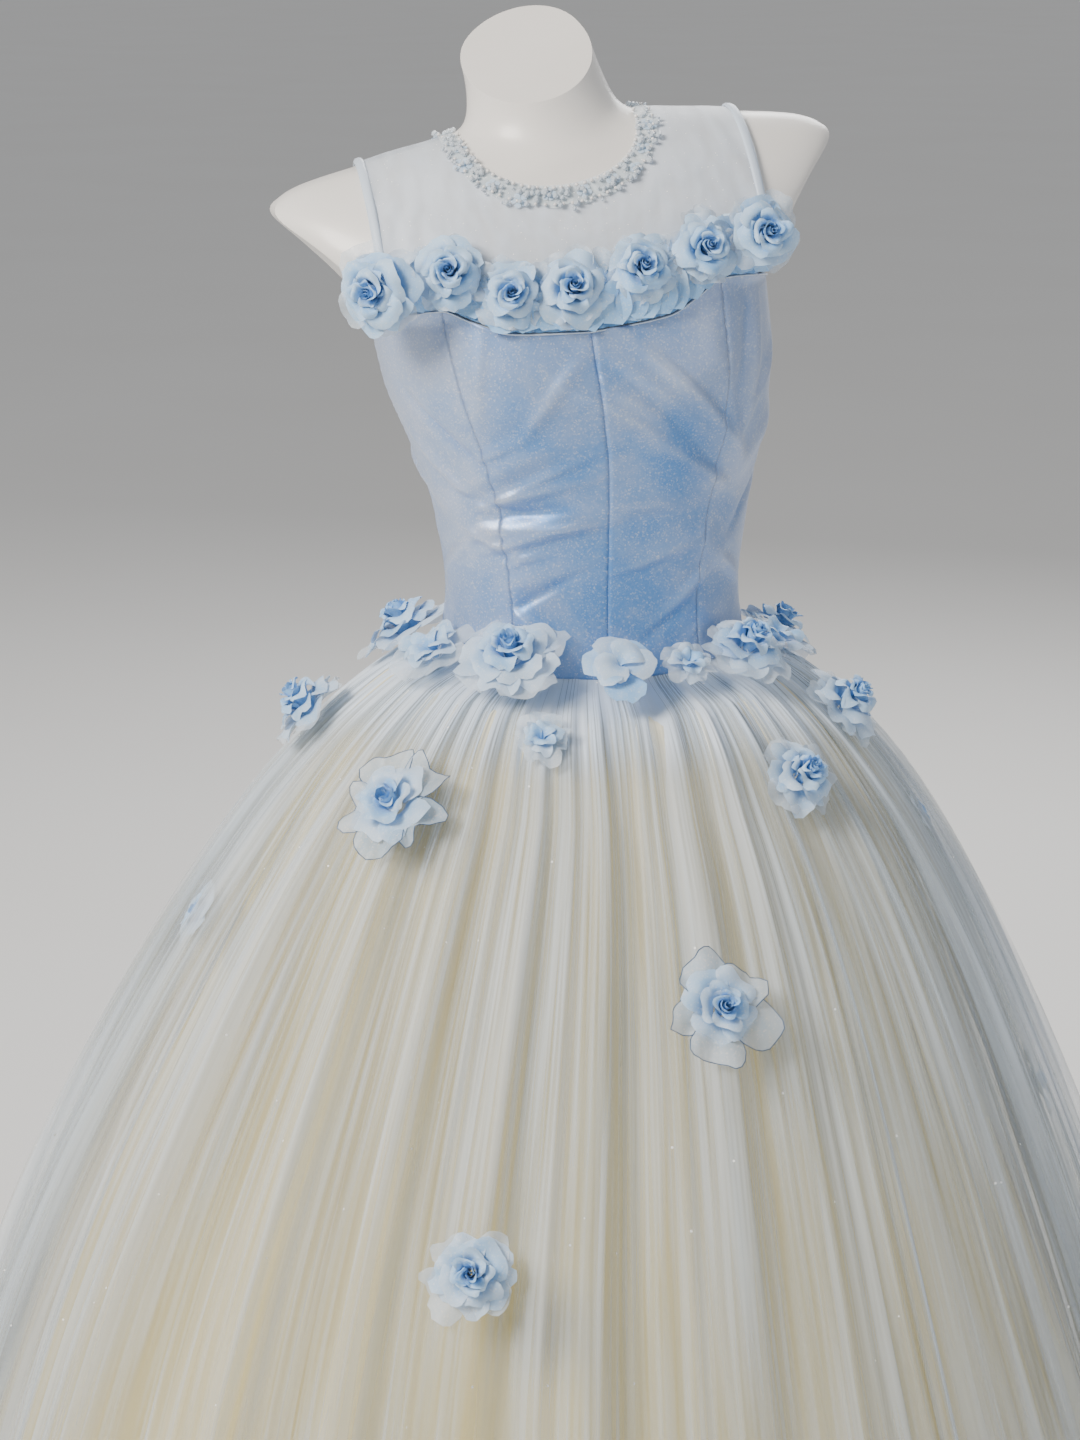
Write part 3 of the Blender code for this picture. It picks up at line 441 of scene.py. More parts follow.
@dataclass
class MeshDraft:
    """Points, faces and finishes of one piece, gathered before they become a mesh."""

    points: list[Array] = field(default_factory=list)
    faces: list[Array] = field(default_factory=list)
    slots: list[Array] = field(default_factory=list)
    shades: list[Array] = field(default_factory=list)
    drapes: list[Array] = field(default_factory=list)
    count: int = 0

    def add(
        self,
        points: Array,
        faces: Array,
        slot: int = 0,
        shade: Array | float = 0.0,
        drape: Array | None = None,
    ) -> None:
        """Adds points and their faces.

        Args:
            points: Points, with x, y and z along the last axis.
            faces: Point numbers of each face, counted from these points.
            slot: Which of the piece's finishes the faces take.
            shade: A value from 0 to 1 at each point for its finish.
            drape: Position of each point along and across the cloth, for its pattern.
        """
        where = points.shape[:-1]
        flat = points.reshape(-1, 3)
        self.points.append(flat)
        self.faces.append(faces + self.count)
        self.slots.append(np.full(len(faces), slot))
        self.shades.append(np.broadcast_to(np.asarray(shade, float), where).ravel())
        spread = np.zeros_like(flat) if drape is None else np.broadcast_to(drape, points.shape)
        self.drapes.append(spread.reshape(-1, 3))
        self.count += len(flat)

    def add_grid(self, grid: Array, wraps: bool = False, **options: object) -> None:
        """Adds one surface from a grid of points.

        Args:
            grid: The points.
            wraps: Whether each row closes on itself.
            **options: Slot, shade and drape, as for add.
        """
        self.add(grid, grid_quads(*grid.shape[:2], wraps), **options)

    def add_shell(self, outer: Array, inner: Array, **options: object) -> None:
        """Adds a thin closed wall between two grids of points.

        Args:
            outer: The outer grid.
            inner: The inner grid, with as many rows and columns.
            **options: Slot, shade and drape, as for add.
        """
        rows, columns = outer.shape[:2]
        count = rows * columns
        faces = grid_quads(rows, columns, False)
        ids = np.arange(count).reshape(rows, columns)
        rims = [ids[0], ids[-1][::-1], ids[:, -1], ids[:, 0][::-1]]
        sides = [np.stack([r[1:], r[:-1], r[:-1] + count, r[1:] + count], axis=-1) for r in rims]
        both = np.stack([outer, inner])
        for name in ("shade", "drape"):
            if isinstance(options.get(name), np.ndarray):
                options[name] = np.stack([options[name]] * 2)
        self.add(both, np.concatenate([faces, faces[:, ::-1] + count, *sides]), **options)

    def to_object(self, name: str, materials: Sequence[Material], smooth: bool = True) -> Piece:
        """Makes the piece.

        Args:
            name: The piece's name.
            materials: Its finishes, in the order of the slots.
            smooth: Whether its faces are shaded as one surface.

        Returns:
            The object, linked to the scene.
        """
        mesh = bpy.data.meshes.new(name)
        points = np.concatenate(self.points)
        mesh.from_pydata(points.tolist(), [], [f for block in self.faces for f in block.tolist()])
        mesh.polygons.foreach_set("material_index", np.concatenate(self.slots).astype(np.int32))
        shade = mesh.attributes.new("shade", "FLOAT", "POINT")
        shade.data.foreach_set("value", np.concatenate(self.shades).astype(np.float32))
        drape = mesh.attributes.new("drape", "FLOAT_VECTOR", "POINT")
        drape.data.foreach_set("vector", np.concatenate(self.drapes).astype(np.float32).ravel())
        for each in materials:
            mesh.materials.append(each)
        if smooth:
            mesh.shade_smooth()
        mesh.update()
        made = bpy.data.objects.new(name, mesh)
        bpy.context.scene.collection.objects.link(made)
        return made


def settle(piece: Piece, replaces: Sequence[str] = ()) -> Piece:
    """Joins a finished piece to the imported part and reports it.

    Args:
        piece: The piece.
        replaces: The CAD nodes that it stands for.

    Returns:
        The same piece.
    """
    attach(piece, BODY)
    if replaces:
        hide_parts(*replaces)
    LOG.info("%s: %d faces", piece.name, len(piece.data.polygons))
    return piece


def linear(hex_code: str) -> Colour:
    """Turns an sRGB hex colour to linear.

    Args:
        hex_code: Six hex digits.

    Returns:
        Red, green, blue and full opacity.
    """
    parts = [int(hex_code[i : i + 2], 16) / 255 for i in (0, 2, 4)]
    made = [p / 12.92 if p <= 0.04045 else ((p + 0.055) / 1.055) ** 2.4 for p in parts]
    return *made, 1.0


def add_node(
    tree: Tree,
    kind: str,
    settings: dict | None = None,
    links: dict | None = None,
) -> Node:
    """Adds a node with its settings and links.

    Args:
        tree: The material's nodes.
        kind: Blender's name of the node type.
        settings: Values by input socket or by property; "stops" are a colour ramp's.
        links: Output sockets by the input socket that each feeds.

    Returns:
        The node.
    """
    made = tree.nodes.new(kind)
    for key, value in (settings or {}).items():
        if key == "stops":
            elements = made.color_ramp.elements
            while len(elements) < len(value):
                elements.new(0.5)
            for element, (place, colour) in zip(elements, value):
                element.position, element.color = place, colour
        elif isinstance(key, int) or key in made.inputs:
            made.inputs[key].default_value = value
        else:
            setattr(made, key, value)
    for key, socket in (links or {}).items():
        tree.links.new(socket, made.inputs[key])
    return made


def grey(value: float) -> Colour:
    """A grey for a colour ramp that carries a number."""
    return value, value, value, 1.0


def add_texture(tree: Tree, kind: str, vector: Socket, **settings: float) -> Node:
    """Adds a procedural texture.

    Args:
        tree: The material's nodes.
        kind: Blender's short name of the texture.
        vector: The socket that gives the place.
        **settings: Values by input socket.

    Returns:
        The node.
    """
    return add_node(tree, f"ShaderNodeTex{kind}", settings, {"Vector": vector})


def add_maths(tree: Tree, operation: str, *values: float | Socket, clamp: bool = False) -> Socket:
    """Adds a sum.

    Args:
        tree: The material's nodes.
        operation: Blender's name of the sum.
        *values: Its numbers, or the sockets that give them.
        clamp: Whether the result is kept between 0 and 1.

    Returns:
        The result's socket.
    """
    known = {i: v for i, v in enumerate(values) if not isinstance(v, Socket)}
    links = {i: v for i, v in enumerate(values) if isinstance(v, Socket)}
    settings = {"operation": operation, "use_clamp": clamp, **known}
    return add_node(tree, "ShaderNodeMath", settings, links).outputs[0]


def add_ramp(tree: Tree, share: Socket, *stops: tuple[float, Colour]) -> Socket:
    """Adds a colour ramp.

    Args:
        tree: The material's nodes.
        share: The socket that gives the position on the ramp.
        *stops: Positions and their colours.

    Returns:
        The colour's socket.
    """
    made = add_node(tree, "ShaderNodeValToRGB", {"stops": stops}, {"Fac": share})
    return made.outputs["Color"]


def add_scaled(tree: Tree, vector: Socket, across: float, along: float) -> Socket:
    """Scales a place, by one factor across and by another along.

    Args:
        tree: The material's nodes.
        vector: The socket that gives the place.
        across: The factor of x and y.
        along: The factor of z.

    Returns:
        The scaled place's socket.
    """
    scale = {"Scale": (across, across, along)}
    return add_node(tree, "ShaderNodeMapping", scale, {"Vector": vector}).outputs["Vector"]


def carried(tree: Tree, name: str, output: str) -> Socket:
    """The socket of a value that the mesh carries at its points."""
    made = add_node(tree, "ShaderNodeAttribute", {"attribute_name": name})
    return made.outputs[output]


def object_place(tree: Tree) -> Socket:
    """The socket of the place on the piece, in metres."""
    return add_node(tree, "ShaderNodeTexCoord").outputs["Object"]


@dataclass(frozen=True)
class Finish:
    """What every finish shares: its name and the Principled shader's own numbers."""

    name: str
    roughness: float = 0.6
    sheen: float = 0.0
    sheen_roughness: float = 0.4
    coat: float = 0.0
    coat_roughness: float = 0.15
    metallic: float = 0.0
    ior: float = 1.5
    anisotropic: float = 0.0
    transmission: float = 0.0

    def material(self) -> Material:
        """The finish as a material, made once."""
        found = bpy.data.materials.get(self.name)
        if found:
            return found
        made = bpy.data.materials.new(self.name)
        made.use_nodes = True
        shader = made.node_tree.nodes["Principled BSDF"]
        numbers = {
            "Roughness": self.roughness,
            "Metallic": self.metallic,
            "IOR": self.ior,
            "Anisotropic": self.anisotropic,
            "Transmission Weight": self.transmission,
            "Sheen Weight": self.sheen,
            "Sheen Roughness": self.sheen_roughness,
            "Coat Weight": self.coat,
            "Coat Roughness": self.coat_roughness,
        }
        for name, value in numbers.items():
            shader.inputs[name].default_value = value
        self.dress(made.node_tree, shader)
        return made

    def dress(self, tree: Tree, shader: Node) -> None:
        """Adds the finish's own colours and patterns.

        Args:
            tree: The material's nodes.
            shader: The Principled shader.
        """


@dataclass(frozen=True)
class LurexSatin(Finish):
    """Polyester satin with fine metal thread: blue, with silver-lilac threads and a painted
    silver-lilac sheen where it catches light.
    """

    ground: str = "5590d4"
    # Silver of the metal threads, and of the sheen that is painted on
    glint: str = "ccd5e8"
    cloud_mm: float = 46.0
    grain_mm: float = 1.1

    def dress(self, tree: Tree, shader: Node) -> None:
        """Random clouds and a painted sheen mix silver into the ground; a grain of bright threads
        and a weave bump.

        Args:
            tree: The material's nodes.
            shader: The Principled shader.
        """
        place = object_place(tree)
        clouds = add_texture(
            tree, "Noise", place,
            Scale=1000 / self.cloud_mm, Detail=5.0, Roughness=0.6, Distortion=0.3,
        )
        # The shade carries a painted sheen: silver towards the panels' sides and top and on every
        # ridge
        edge = carried(tree, "shade", "Fac")
        painted_sheen_and_clouds = add_maths(tree, "MULTIPLY_ADD", edge, 0.55, clouds.outputs["Fac"])
        spread = add_ramp(tree, painted_sheen_and_clouds, (0.42, grey(0.03)), (1.0, grey(0.66)))
        # Real threads are 0.1 mm; the grain is drawn at 1.1 mm so that it shows in the render
        grain = add_texture(tree, "Voronoi", place, Scale=1000 / self.grain_mm)
        sparks = ((0.30, grey(0.0)), (0.70, grey(0.09)), (0.92, grey(0.50)))
        sparkle = add_ramp(tree, grain.outputs["Color"], *sparks)
        share = add_maths(tree, "ADD", spread, sparkle, clamp=True)
        add_mix(tree, shader, linear(self.ground), linear(self.glint), share)
        weave = add_texture(tree, "Noise", place, Scale=1400.0, Detail=1.0)
        add_bump(tree, shader, weave.outputs["Fac"], 0.25, 0.0004)


def add_mix(
    tree: Tree,
    shader: Node,
    first: Colour | Socket,
    second: Colour,
    share: Socket,
) -> Node:
    """Mixes two colours into the shader's base colour.

    Args:
        tree: The material's nodes.
        shader: The Principled shader.
        first: The colour, or the socket that gives it, where share is 0.
        second: The colour where share is 1.
        share: The socket that gives the share.

    Returns:
        The mix node.
    """
    mix = add_node(tree, "ShaderNodeMix", {"data_type": "RGBA"}, {0: share})
    if isinstance(first, tuple):
        mix.inputs[6].default_value = first
    else:
        tree.links.new(first, mix.inputs[6])
    mix.inputs[7].default_value = second
    tree.links.new(mix.outputs[2], shader.inputs["Base Color"])
    return mix


def add_bump(tree: Tree, shader: Node, height: Socket, strength: float, distance: float) -> None:
    """Adds a bump to the shader's normal.

    Args:
        tree: The material's nodes.
        shader: The Principled shader.
        height: The socket that gives the height.
        strength: Share of the bump.
        distance: Its depth in metres.
    """
    bump = add_node(
        tree, "ShaderNodeBump", {"Strength": strength, "Distance": distance}, {"Height": height}
    )
    tree.links.new(bump.outputs["Normal"], shader.inputs["Normal"])


@dataclass(frozen=True)
class Net(Finish):
    """Nylon tulle or organza, knitted as an open net: see-through, denser where its folds run."""

    tint: str = "e4edf4"
    warm: str = "f0eadb"
    thin: float = 0.20
    dense: float = 0.62
    streaks: tuple[float, float] = (260.0, 5.0)
    glitter_mm: float = 26.0
    dot_mm: float = 0.9

    def dress(self, tree: Tree, shader: Node) -> None:
        """Streaks of denser net along the folds, a tint that drifts, and sparse glitter dots.

        Args:
            tree: The material's nodes.
            shader: The Principled shader.
        """
        run = carried(tree, "drape", "Vector")
        across, along = self.streaks
        streaks = add_scaled(tree, run, across, along)
        streak = add_texture(tree, "Noise", streaks, Scale=1.0, Detail=1.0, Roughness=0.65)
        broad = add_scaled(tree, run, across / 9, along / 2)
        drift = add_texture(tree, "Noise", broad, Scale=1.0, Detail=1.0).outputs["Fac"]
        half = add_maths(tree, "MULTIPLY", streak.outputs["Fac"], 0.5)
        mean = add_maths(tree, "MULTIPLY_ADD", drift, 0.5, half)
        cover = add_ramp(tree, mean, (0.40, grey(self.thin)), (0.60, grey(self.dense)))
        thick = add_maths(tree, "MULTIPLY", cover, carried(tree, "shade", "Fac"), clamp=True)
        # Real glitter is 0.2 mm; its dots are drawn at 0.5 to 0.9 mm so that they show
        dots = add_texture(tree, "Voronoi", object_place(tree), Scale=1000 / self.glitter_mm)
        reach = self.dot_mm / self.glitter_mm
        dot = add_maths(tree, "LESS_THAN", dots.outputs["Distance"], reach)
        tree.links.new(add_maths(tree, "MAXIMUM", thick, dot), shader.inputs["Alpha"])
        tinted = add_mix(tree, shader, linear(self.tint), linear(self.warm), drift)
        add_mix(tree, shader, tinted.outputs[2], linear("ffffff"), dot)


@dataclass(frozen=True)
class Petal(Finish):
    """Heat-set polyester organza petals, dyed from the heart out; a heart set lighter than its
    middle is painted light against the shade inside the flower.
    """

    # The default heart is lighter than the middle: painted light that lifts the shade between the
    # inner petals
    heart: str = "9dcdf8"
    middle: str = "8fc3f4"
    tip: str = "b9d8f6"
    alpha: float = 1.0
    grain_mm: float = 1.1
    glitter: float = 0.35

    def dress(self, tree: Tree, shader: Node) -> None:
        """A dye that runs from the heart through the middle to a pale tip, blotches, and glitter on
        the grain.

        Args:
            tree: The material's nodes.
            shader: The Principled shader.
        """
        shade = carried(tree, "shade", "Fac")
        place = object_place(tree)
        blotch = add_texture(tree, "Noise", place, Scale=110.0, Detail=3.0, Roughness=0.6)
        moved = add_maths(tree, "MULTIPLY_ADD", blotch.outputs["Fac"], 0.8, -0.40)
        dyed = add_maths(tree, "ADD", shade, moved, clamp=True)
        stops = ((0.05, linear(self.heart)), (0.45, linear(self.middle)), (0.95, linear(self.tip)))
        colour = add_ramp(tree, dyed, *stops)
        # Real glitter is 0.2 mm; its grain is drawn at 1.1 mm so that it shows in the render
        grain = add_texture(tree, "Voronoi", place, Scale=1000 / self.grain_mm)
        bright = ((0.70, grey(0.0)), (0.95, grey(self.glitter)))
        glint = add_ramp(tree, grain.outputs["Color"], *bright)
        add_mix(tree, shader, colour, linear("fbfdff"), glint)
        shader.inputs["Alpha"].default_value = self.alpha
        add_bump(tree, shader, grain.outputs["Distance"], 0.25, 0.0003)


@dataclass(frozen=True)
class SoftSatin(Finish):
    """Plain polyester satin, woven smooth: an even colour with a faint drift and thread lines."""

    colour: str = "e6d3a6"
    deeper: str = "cfb684"
    streak: float = 40.0

    def dress(self, tree: Tree, shader: Node) -> None:
        """Drifts the colour along the cloth and adds a thread bump.

        Args:
            tree: The material's nodes.
            shader: The Principled shader.
        """
        stretched = add_scaled(tree, carried(tree, "drape", "Vector"), self.streak, 2.0)
        drift = add_texture(tree, "Noise", stretched, Scale=1.0, Detail=3.0)
        add_mix(tree, shader, linear(self.colour), linear(self.deeper), drift.outputs["Fac"])
        thread = add_texture(tree, "Noise", object_place(tree), Scale=1100.0, Detail=1.0)
        add_bump(tree, shader, thread.outputs["Fac"], 0.2, 0.0003)


@dataclass(frozen=True)
class Plain(Finish):
    """A hard or dyed material of one colour with a slight drift and a fine surface."""

    colour: str = "f1efeb"
    deeper: str = "e6e3dd"
    drift_mm: float = 60.0
    surface_mm: float = 1.2
    bump: float = 0.05

    def dress(self, tree: Tree, shader: Node) -> None:
        """Drifts the colour a little and roughens the surface.

        Args:
            tree: The material's nodes.
            shader: The Principled shader.
        """
        place = object_place(tree)
        drift = add_texture(tree, "Noise", place, Scale=1000 / self.drift_mm, Detail=3.0)
        add_mix(tree, shader, linear(self.colour), linear(self.deeper), drift.outputs["Fac"])
        fine = add_texture(tree, "Noise", place, Scale=1000 / self.surface_mm, Detail=2.0)
        add_bump(tree, shader, fine.outputs["Fac"], self.bump, 0.0003)


@dataclass(frozen=True)
class Brushed(Finish):
    """Steel, turned and brushed: fine rings that stretch the highlight."""

    colour: str = "c4c6ca"

    def dress(self, tree: Tree, shader: Node) -> None:
        """Adds brushing lines to the roughness.

        Args:
            tree: The material's nodes.
            shader: The Principled shader.
        """
        shader.inputs["Base Color"].default_value = linear(self.colour)
        lines = add_scaled(tree, object_place(tree), 30.0, 2600.0)
        noise = add_texture(tree, "Noise", lines, Scale=1.0)
        span = {"To Min": 0.24, "To Max": 0.42}
        rough = add_node(tree, "ShaderNodeMapRange", span, {"Value": noise.outputs["Fac"]})
        tree.links.new(rough.outputs["Result"], shader.inputs["Roughness"])


# Lurex satin catches light on every ridge, so it has a low roughness and a silver sheen; its sides,
# top and ridges also get a painted silver sheen
BODICE_SATIN = LurexSatin(
    "lurex_satin_woven", roughness=0.42, sheen=0.35, sheen_roughness=0.3, metallic=0.40
)
# Organza is crisp and clear, so the white form shows through it
YOKE_ORGANZA = Net(
    "organza_glitter_woven", roughness=0.5, sheen=0.4, tint="dbe9fa", warm="eef4fc",
    thin=0.55, dense=0.85, streaks=(70.0, 30.0), glitter_mm=5.0, dot_mm=0.5,
)
BINDING_SATIN = SoftSatin(
    "satin_bias_binding", roughness=0.42, sheen=0.3, colour="dce7f4", deeper="c6d8ec"
)
BEAD_NET = Net(
    "bead_net_embroidered", roughness=0.5, sheen=0.3, tint="d8e8ee", warm="eef3f6",
    thin=0.42, dense=0.85, streaks=(160.0, 90.0), glitter_mm=4.0, dot_mm=0.6,
)
# Each ply of tulle is a thin net; three of them over the lining give the skirt's depth
OUTER_TULLE = Net(
    "nylon_tulle_outer", roughness=0.55, sheen=0.25, tint="c3d9f2", warm="e6ebee",
    thin=0.08, dense=0.50,
)
MIDDLE_TULLE = Net(
    "nylon_tulle_middle", roughness=0.55, sheen=0.2, tint="cfe0f1", warm="f0eedd",
    thin=0.08, dense=0.42, streaks=(190.0, 4.0), glitter_mm=48.0,
)
UNDER_TULLE = Net(
    "nylon_tulle_under", roughness=0.6, sheen=0.2, tint="dfe6e6", warm="f3e3b0",
    thin=0.12, dense=0.46, streaks=(150.0, 4.0), glitter_mm=60.0,
)
LINING_SATIN = SoftSatin(
    "champagne_satin_woven", roughness=0.46, sheen=0.3, colour="ead98c", deeper="d3c06c"
)
# The blue petals' heart is lighter than their middle, and the pale petals' nearly as light: painted
# light that lifts the shade deep inside each flower
ROSE_PETAL = Petal("organza_petal_blue", roughness=0.55, sheen=0.3)
PALE_PETAL = Petal(
    "organza_petal_pale", roughness=0.5, sheen=0.25,
    heart="94c7f6", middle="9ccaf4", tip="cbe1f7", alpha=0.84, glitter=0.5,
)
SHEER_PETAL = Petal(
    "organza_petal_sheer", roughness=0.45, sheen=0.3,
    heart="8fc2f2", middle="b6d7f4", tip="dbeaf8", alpha=0.50, glitter=0.9,
)
EDGE_WIRE = Plain("petal_edge_wire", roughness=0.4, metallic=0.5, colour="4d6c94", deeper="3a5579")
BAND_PETAL = Petal(
    "organza_ruffle_blue", roughness=0.55, sheen=0.3,
    heart="5c9ad8", middle="83b6e6", tip="c6ddf2", glitter=0.3,
)
# Glass crystal is clear and bright; pearl is a soft coat over white
CRYSTAL = Plain(
    "cut_glass_crystal", roughness=0.06, transmission=0.30, ior=1.52,
    colour="f3f8fd", deeper="dcebf8", bump=0.0,
)
PEARL = Plain(
    "glass_pearl_coated", roughness=0.28, coat=0.7, colour="f4f1ea", deeper="e6e3e6", bump=0.0
)
# Glass-fibre shell, sanded and sprayed: a soft even gloss
FORM_SHELL = Plain(
    "sprayed_fibreglass_white", roughness=0.36, coat=0.15,
    colour="f3f0ec", deeper="ece8e2", bump=0.03,
)
STAND_STEEL = Brushed("brushed_steel_stand", metallic=1.0, roughness=0.3, anisotropic=0.5)
STITCH = Plain("polyester_thread", roughness=0.6, colour="b8cce2", deeper="9fb8d4", bump=0.0)


def tube_grid(path: Array, radius: float, sides: int = 5) -> Array:
    """Rings of points round a path.

    Args:
        path: Points along the middle.
        radius: Half the tube's thickness.
        sides: Points in a ring.

    Returns:
        A grid of rings, to be closed round.
    """
    way = np.gradient(path, axis=0)
    way /= np.maximum(np.linalg.norm(way, axis=1, keepdims=True), 1e-9)
    side = np.cross(way, (0.13, 0.21, 0.97))
    side /= np.maximum(np.linalg.norm(side, axis=1, keepdims=True), 1e-9)
    other = np.cross(way, side)
    turn = np.linspace(0.0, 2 * math.pi, sides, endpoint=False)
    cosine, sine = np.cos(turn)[None, :, None], np.sin(turn)[None, :, None]
    return path[:, None] + radius * (cosine * side[:, None] + sine * other[:, None])


def normal_of(point_at: Callable[[float, float], Array], u: float, v: float, step: float) -> Array:
    """The unit normal of a surface, from points a step apart.

    Args:
        point_at: Gives the surface's point at u and v.
        u: The first place on it.
        v: The second place on it.
        step: How far apart the points are.

    Returns:
        The normal.
    """
    here = point_at(u, v)
    across = point_at(u + step, v) - here
    up = point_at(u, v + step) - here
    normal = np.cross(across, up)
    return normal / np.linalg.norm(normal)


def cad_points(node: Piece) -> Array:
    """The points of a CAD node, in the row frame."""
    mesh = node.data
    flat = np.empty(len(mesh.vertices) * 3)
    mesh.vertices.foreach_get("co", flat)
    return flat.reshape(-1, 3)


@dataclass(frozen=True)
class DressForm:
    """The white limbless form on its pole: smooth torso, slanting neck cap and cut-off arms."""

    side_angle: float = 84.0
    columns: int = 15
    under_arm: float = 0.238
    arm_cut: tuple[float, float, float] = (0.148, 0.268, 0.80)
    arm_rings: tuple[tuple[float, float], ...] = (
        (0.273, 0.273),
        (0.292, 0.290),
        (0.314, 0.308),
        (0.334, 0.323),
        (0.3495, 0.334),
    )
    shoulder_rings: tuple[tuple[float, float], ...] = (
        (0.2060, 0.341),
        (0.1900, 0.347),
        (0.1650, 0.352),
        (0.1350, 0.357),
        (0.1050, 0.362),
        (0.0800, 0.367),
    )
    ridge_soften: float = 0.0010
    neck_base: tuple[float, float, float] = (0.0580, 0.373, 0.017)
    neck_top: float = 0.0485
    neck_blend: tuple[float, float] = (0.330, 0.365)
    cap: tuple[float, float, float] = (0.436, 0.63, 0.09)
    neck_shares: tuple[float, ...] = (0.0, 0.35, 0.70, 1.0)
    levels: int = 2
    rim_back: float = 0.016
    rim_span: tuple[float, float] = (0.12, 0.94)
    rim_shares: tuple[float, ...] = (1.0, 0.70, 0.40, 0.15)

    def ring(self, reach: float, side: float, middle: float) -> Array:
        """One ring of the torso, the front across and then the back.

        Args:
            reach: Half its width.
            side: Its height at the sides.
            middle: Its height in the middle.

        Returns:
            Its points.
        """
        turn = np.radians(np.linspace(-self.side_angle, self.side_angle, self.columns))
        x = reach * signed_power(np.sin(turn), 2 / ROUNDNESS)
        height = middle + (side - middle) * np.sin(turn) ** 2
        grown = smoothstep(height, *self.neck_blend)
        neck = np.sqrt(np.maximum(self.neck_base[0] ** 2 - x * x, 0.0)) * grown
        front = np.maximum(-FIGURE.skin_y(x, height, True, 0.0), 0.0)
        back = np.maximum(FIGURE.skin_y(x, height, False, 0.0), 0.0)
        front = -((front**4 + np.maximum(neck - RIDGE_BACK, 0.0) ** 4) ** 0.25)
        back = (back**4 + np.where(neck > 0.0, neck + RIDGE_BACK * grown, 0.0) ** 4) ** 0.25
        rings = FIGURE.stand_up(x, front, height), FIGURE.stand_up(x, back, height)[::-1]
        return np.concatenate(rings)

    def neck_ring(self, share: float) -> Array:
        """One ring of the neck.

        Args:
            share: How far up it is, from 0 at the base to 1 at the slanting cap.

        Returns:
            Its points.
        """
        turn = np.radians(np.linspace(-self.side_angle, self.side_angle, self.columns))
        turn = np.concatenate([turn, math.pi - turn[::-1]])
        wide, base, side = self.neck_base
        radius = self.neck_top + (wide - self.neck_top) * (1 - share) ** 2
        x, y = radius * np.sin(turn), RIDGE_BACK - radius * np.cos(turn)
        middle, slope, side_slope = self.cap
        top = middle + slope * (y - RIDGE_BACK) + side_slope * x
        start = base + side * np.sin(turn) ** 2
        return FIGURE.stand_up(x, y, start + (top - start) * share)

    def build(self, nodes: dict[str, Piece]) -> None:
        """Builds the torso and finishes the pole and the base.

        Args:
            nodes: The CAD nodes by name.
        """
        heights = [level.height for level in FIGURE_LEVELS if level.height <= ARMPIT_HEIGHT]
        heights = sorted([*heights, self.under_arm])
        rings = [self.ring(float(FIGURE.half_width(h)), h, h) for h in heights]
        start, low, slope = self.arm_cut
        for side, middle in self.arm_rings:
            rings.append(self.ring(start + slope * (side - low), side, middle))
        for reach, middle in self.shoulder_rings:
            ridge = float(FIGURE.ridge_height(reach)) - self.ridge_soften
            rings.append(self.ring(reach, ridge, middle))
        rings += [self.neck_ring(share) for share in self.neck_shares]
        grid = np.stack(rings)
        rows, columns = grid.shape[:2]
        first = len(heights)
        # The front rim of each arm cut stands back, so that the cut face turns a little forwards
        swing = np.sin(math.pi * np.linspace(*self.rim_span, len(self.arm_rings)))
        for row, share in enumerate(swing, first):
            for step, part in enumerate(self.rim_shares):
                grid[row, step, 0] += part * share * self.rim_back
                grid[row, self.columns - 1 - step, 0] -= part * share * self.rim_back
        draft = MeshDraft()
        draft.add_grid(grid, wraps=True)
        ends = np.arange(columns)[None]
        draft.faces += [ends[:, ::-1], ends + (rows - 1) * columns]
        draft.slots += [np.zeros(1, int)] * 2
        torso = draft.to_object("form_shell", [FORM_SHELL.material()])
        self.sharpen(torso, rows, columns, (first - 1, first + len(self.arm_rings)))
        settle(torso, ["form_torso"])
        for name in ("form_pole", "form_base"):
            nodes[name].data.materials.clear()
            nodes[name].data.materials.append(STAND_STEEL.material())

    def sharpen(self, torso: Piece, rows: int, columns: int, arm_rows: tuple[int, int]) -> None:
        """Keeps the cap, the hip cut and the arm cuts crisp under a smoothing subdivision.

        Args:
            torso: The torso.
            rows: Its rings.
            columns: Points in a ring.
            arm_rows: The first and the last ring of the arm cuts.
        """
        rims, ends = {0, rows - 1}, {0, columns // 2 - 1, columns // 2, columns - 1}
        crease = torso.data.attributes.new("crease_edge", "FLOAT", "EDGE")
        values = np.zeros(len(torso.data.edges), np.float32)
        for i, edge in enumerate(torso.data.edges):
            (low, first), (high, last) = sorted(divmod(v, columns) for v in edge.vertices)
            if low == high and low in rims:
                values[i] = 1.0
            elif first == last and first in ends and arm_rows[0] <= low and high <= arm_rows[1]:
                values[i] = 0.5 if low == arm_rows[0] else 1.0
        sharp = torso.data.attributes.new("sharp_edge", "BOOLEAN", "EDGE")
        sharp.data.foreach_set("value", values > 0.9)
        crease.data.foreach_set("value", values)
        smooth = torso.modifiers.new("smooth", "SUBSURF")
        smooth.levels = smooth.render_levels = self.levels


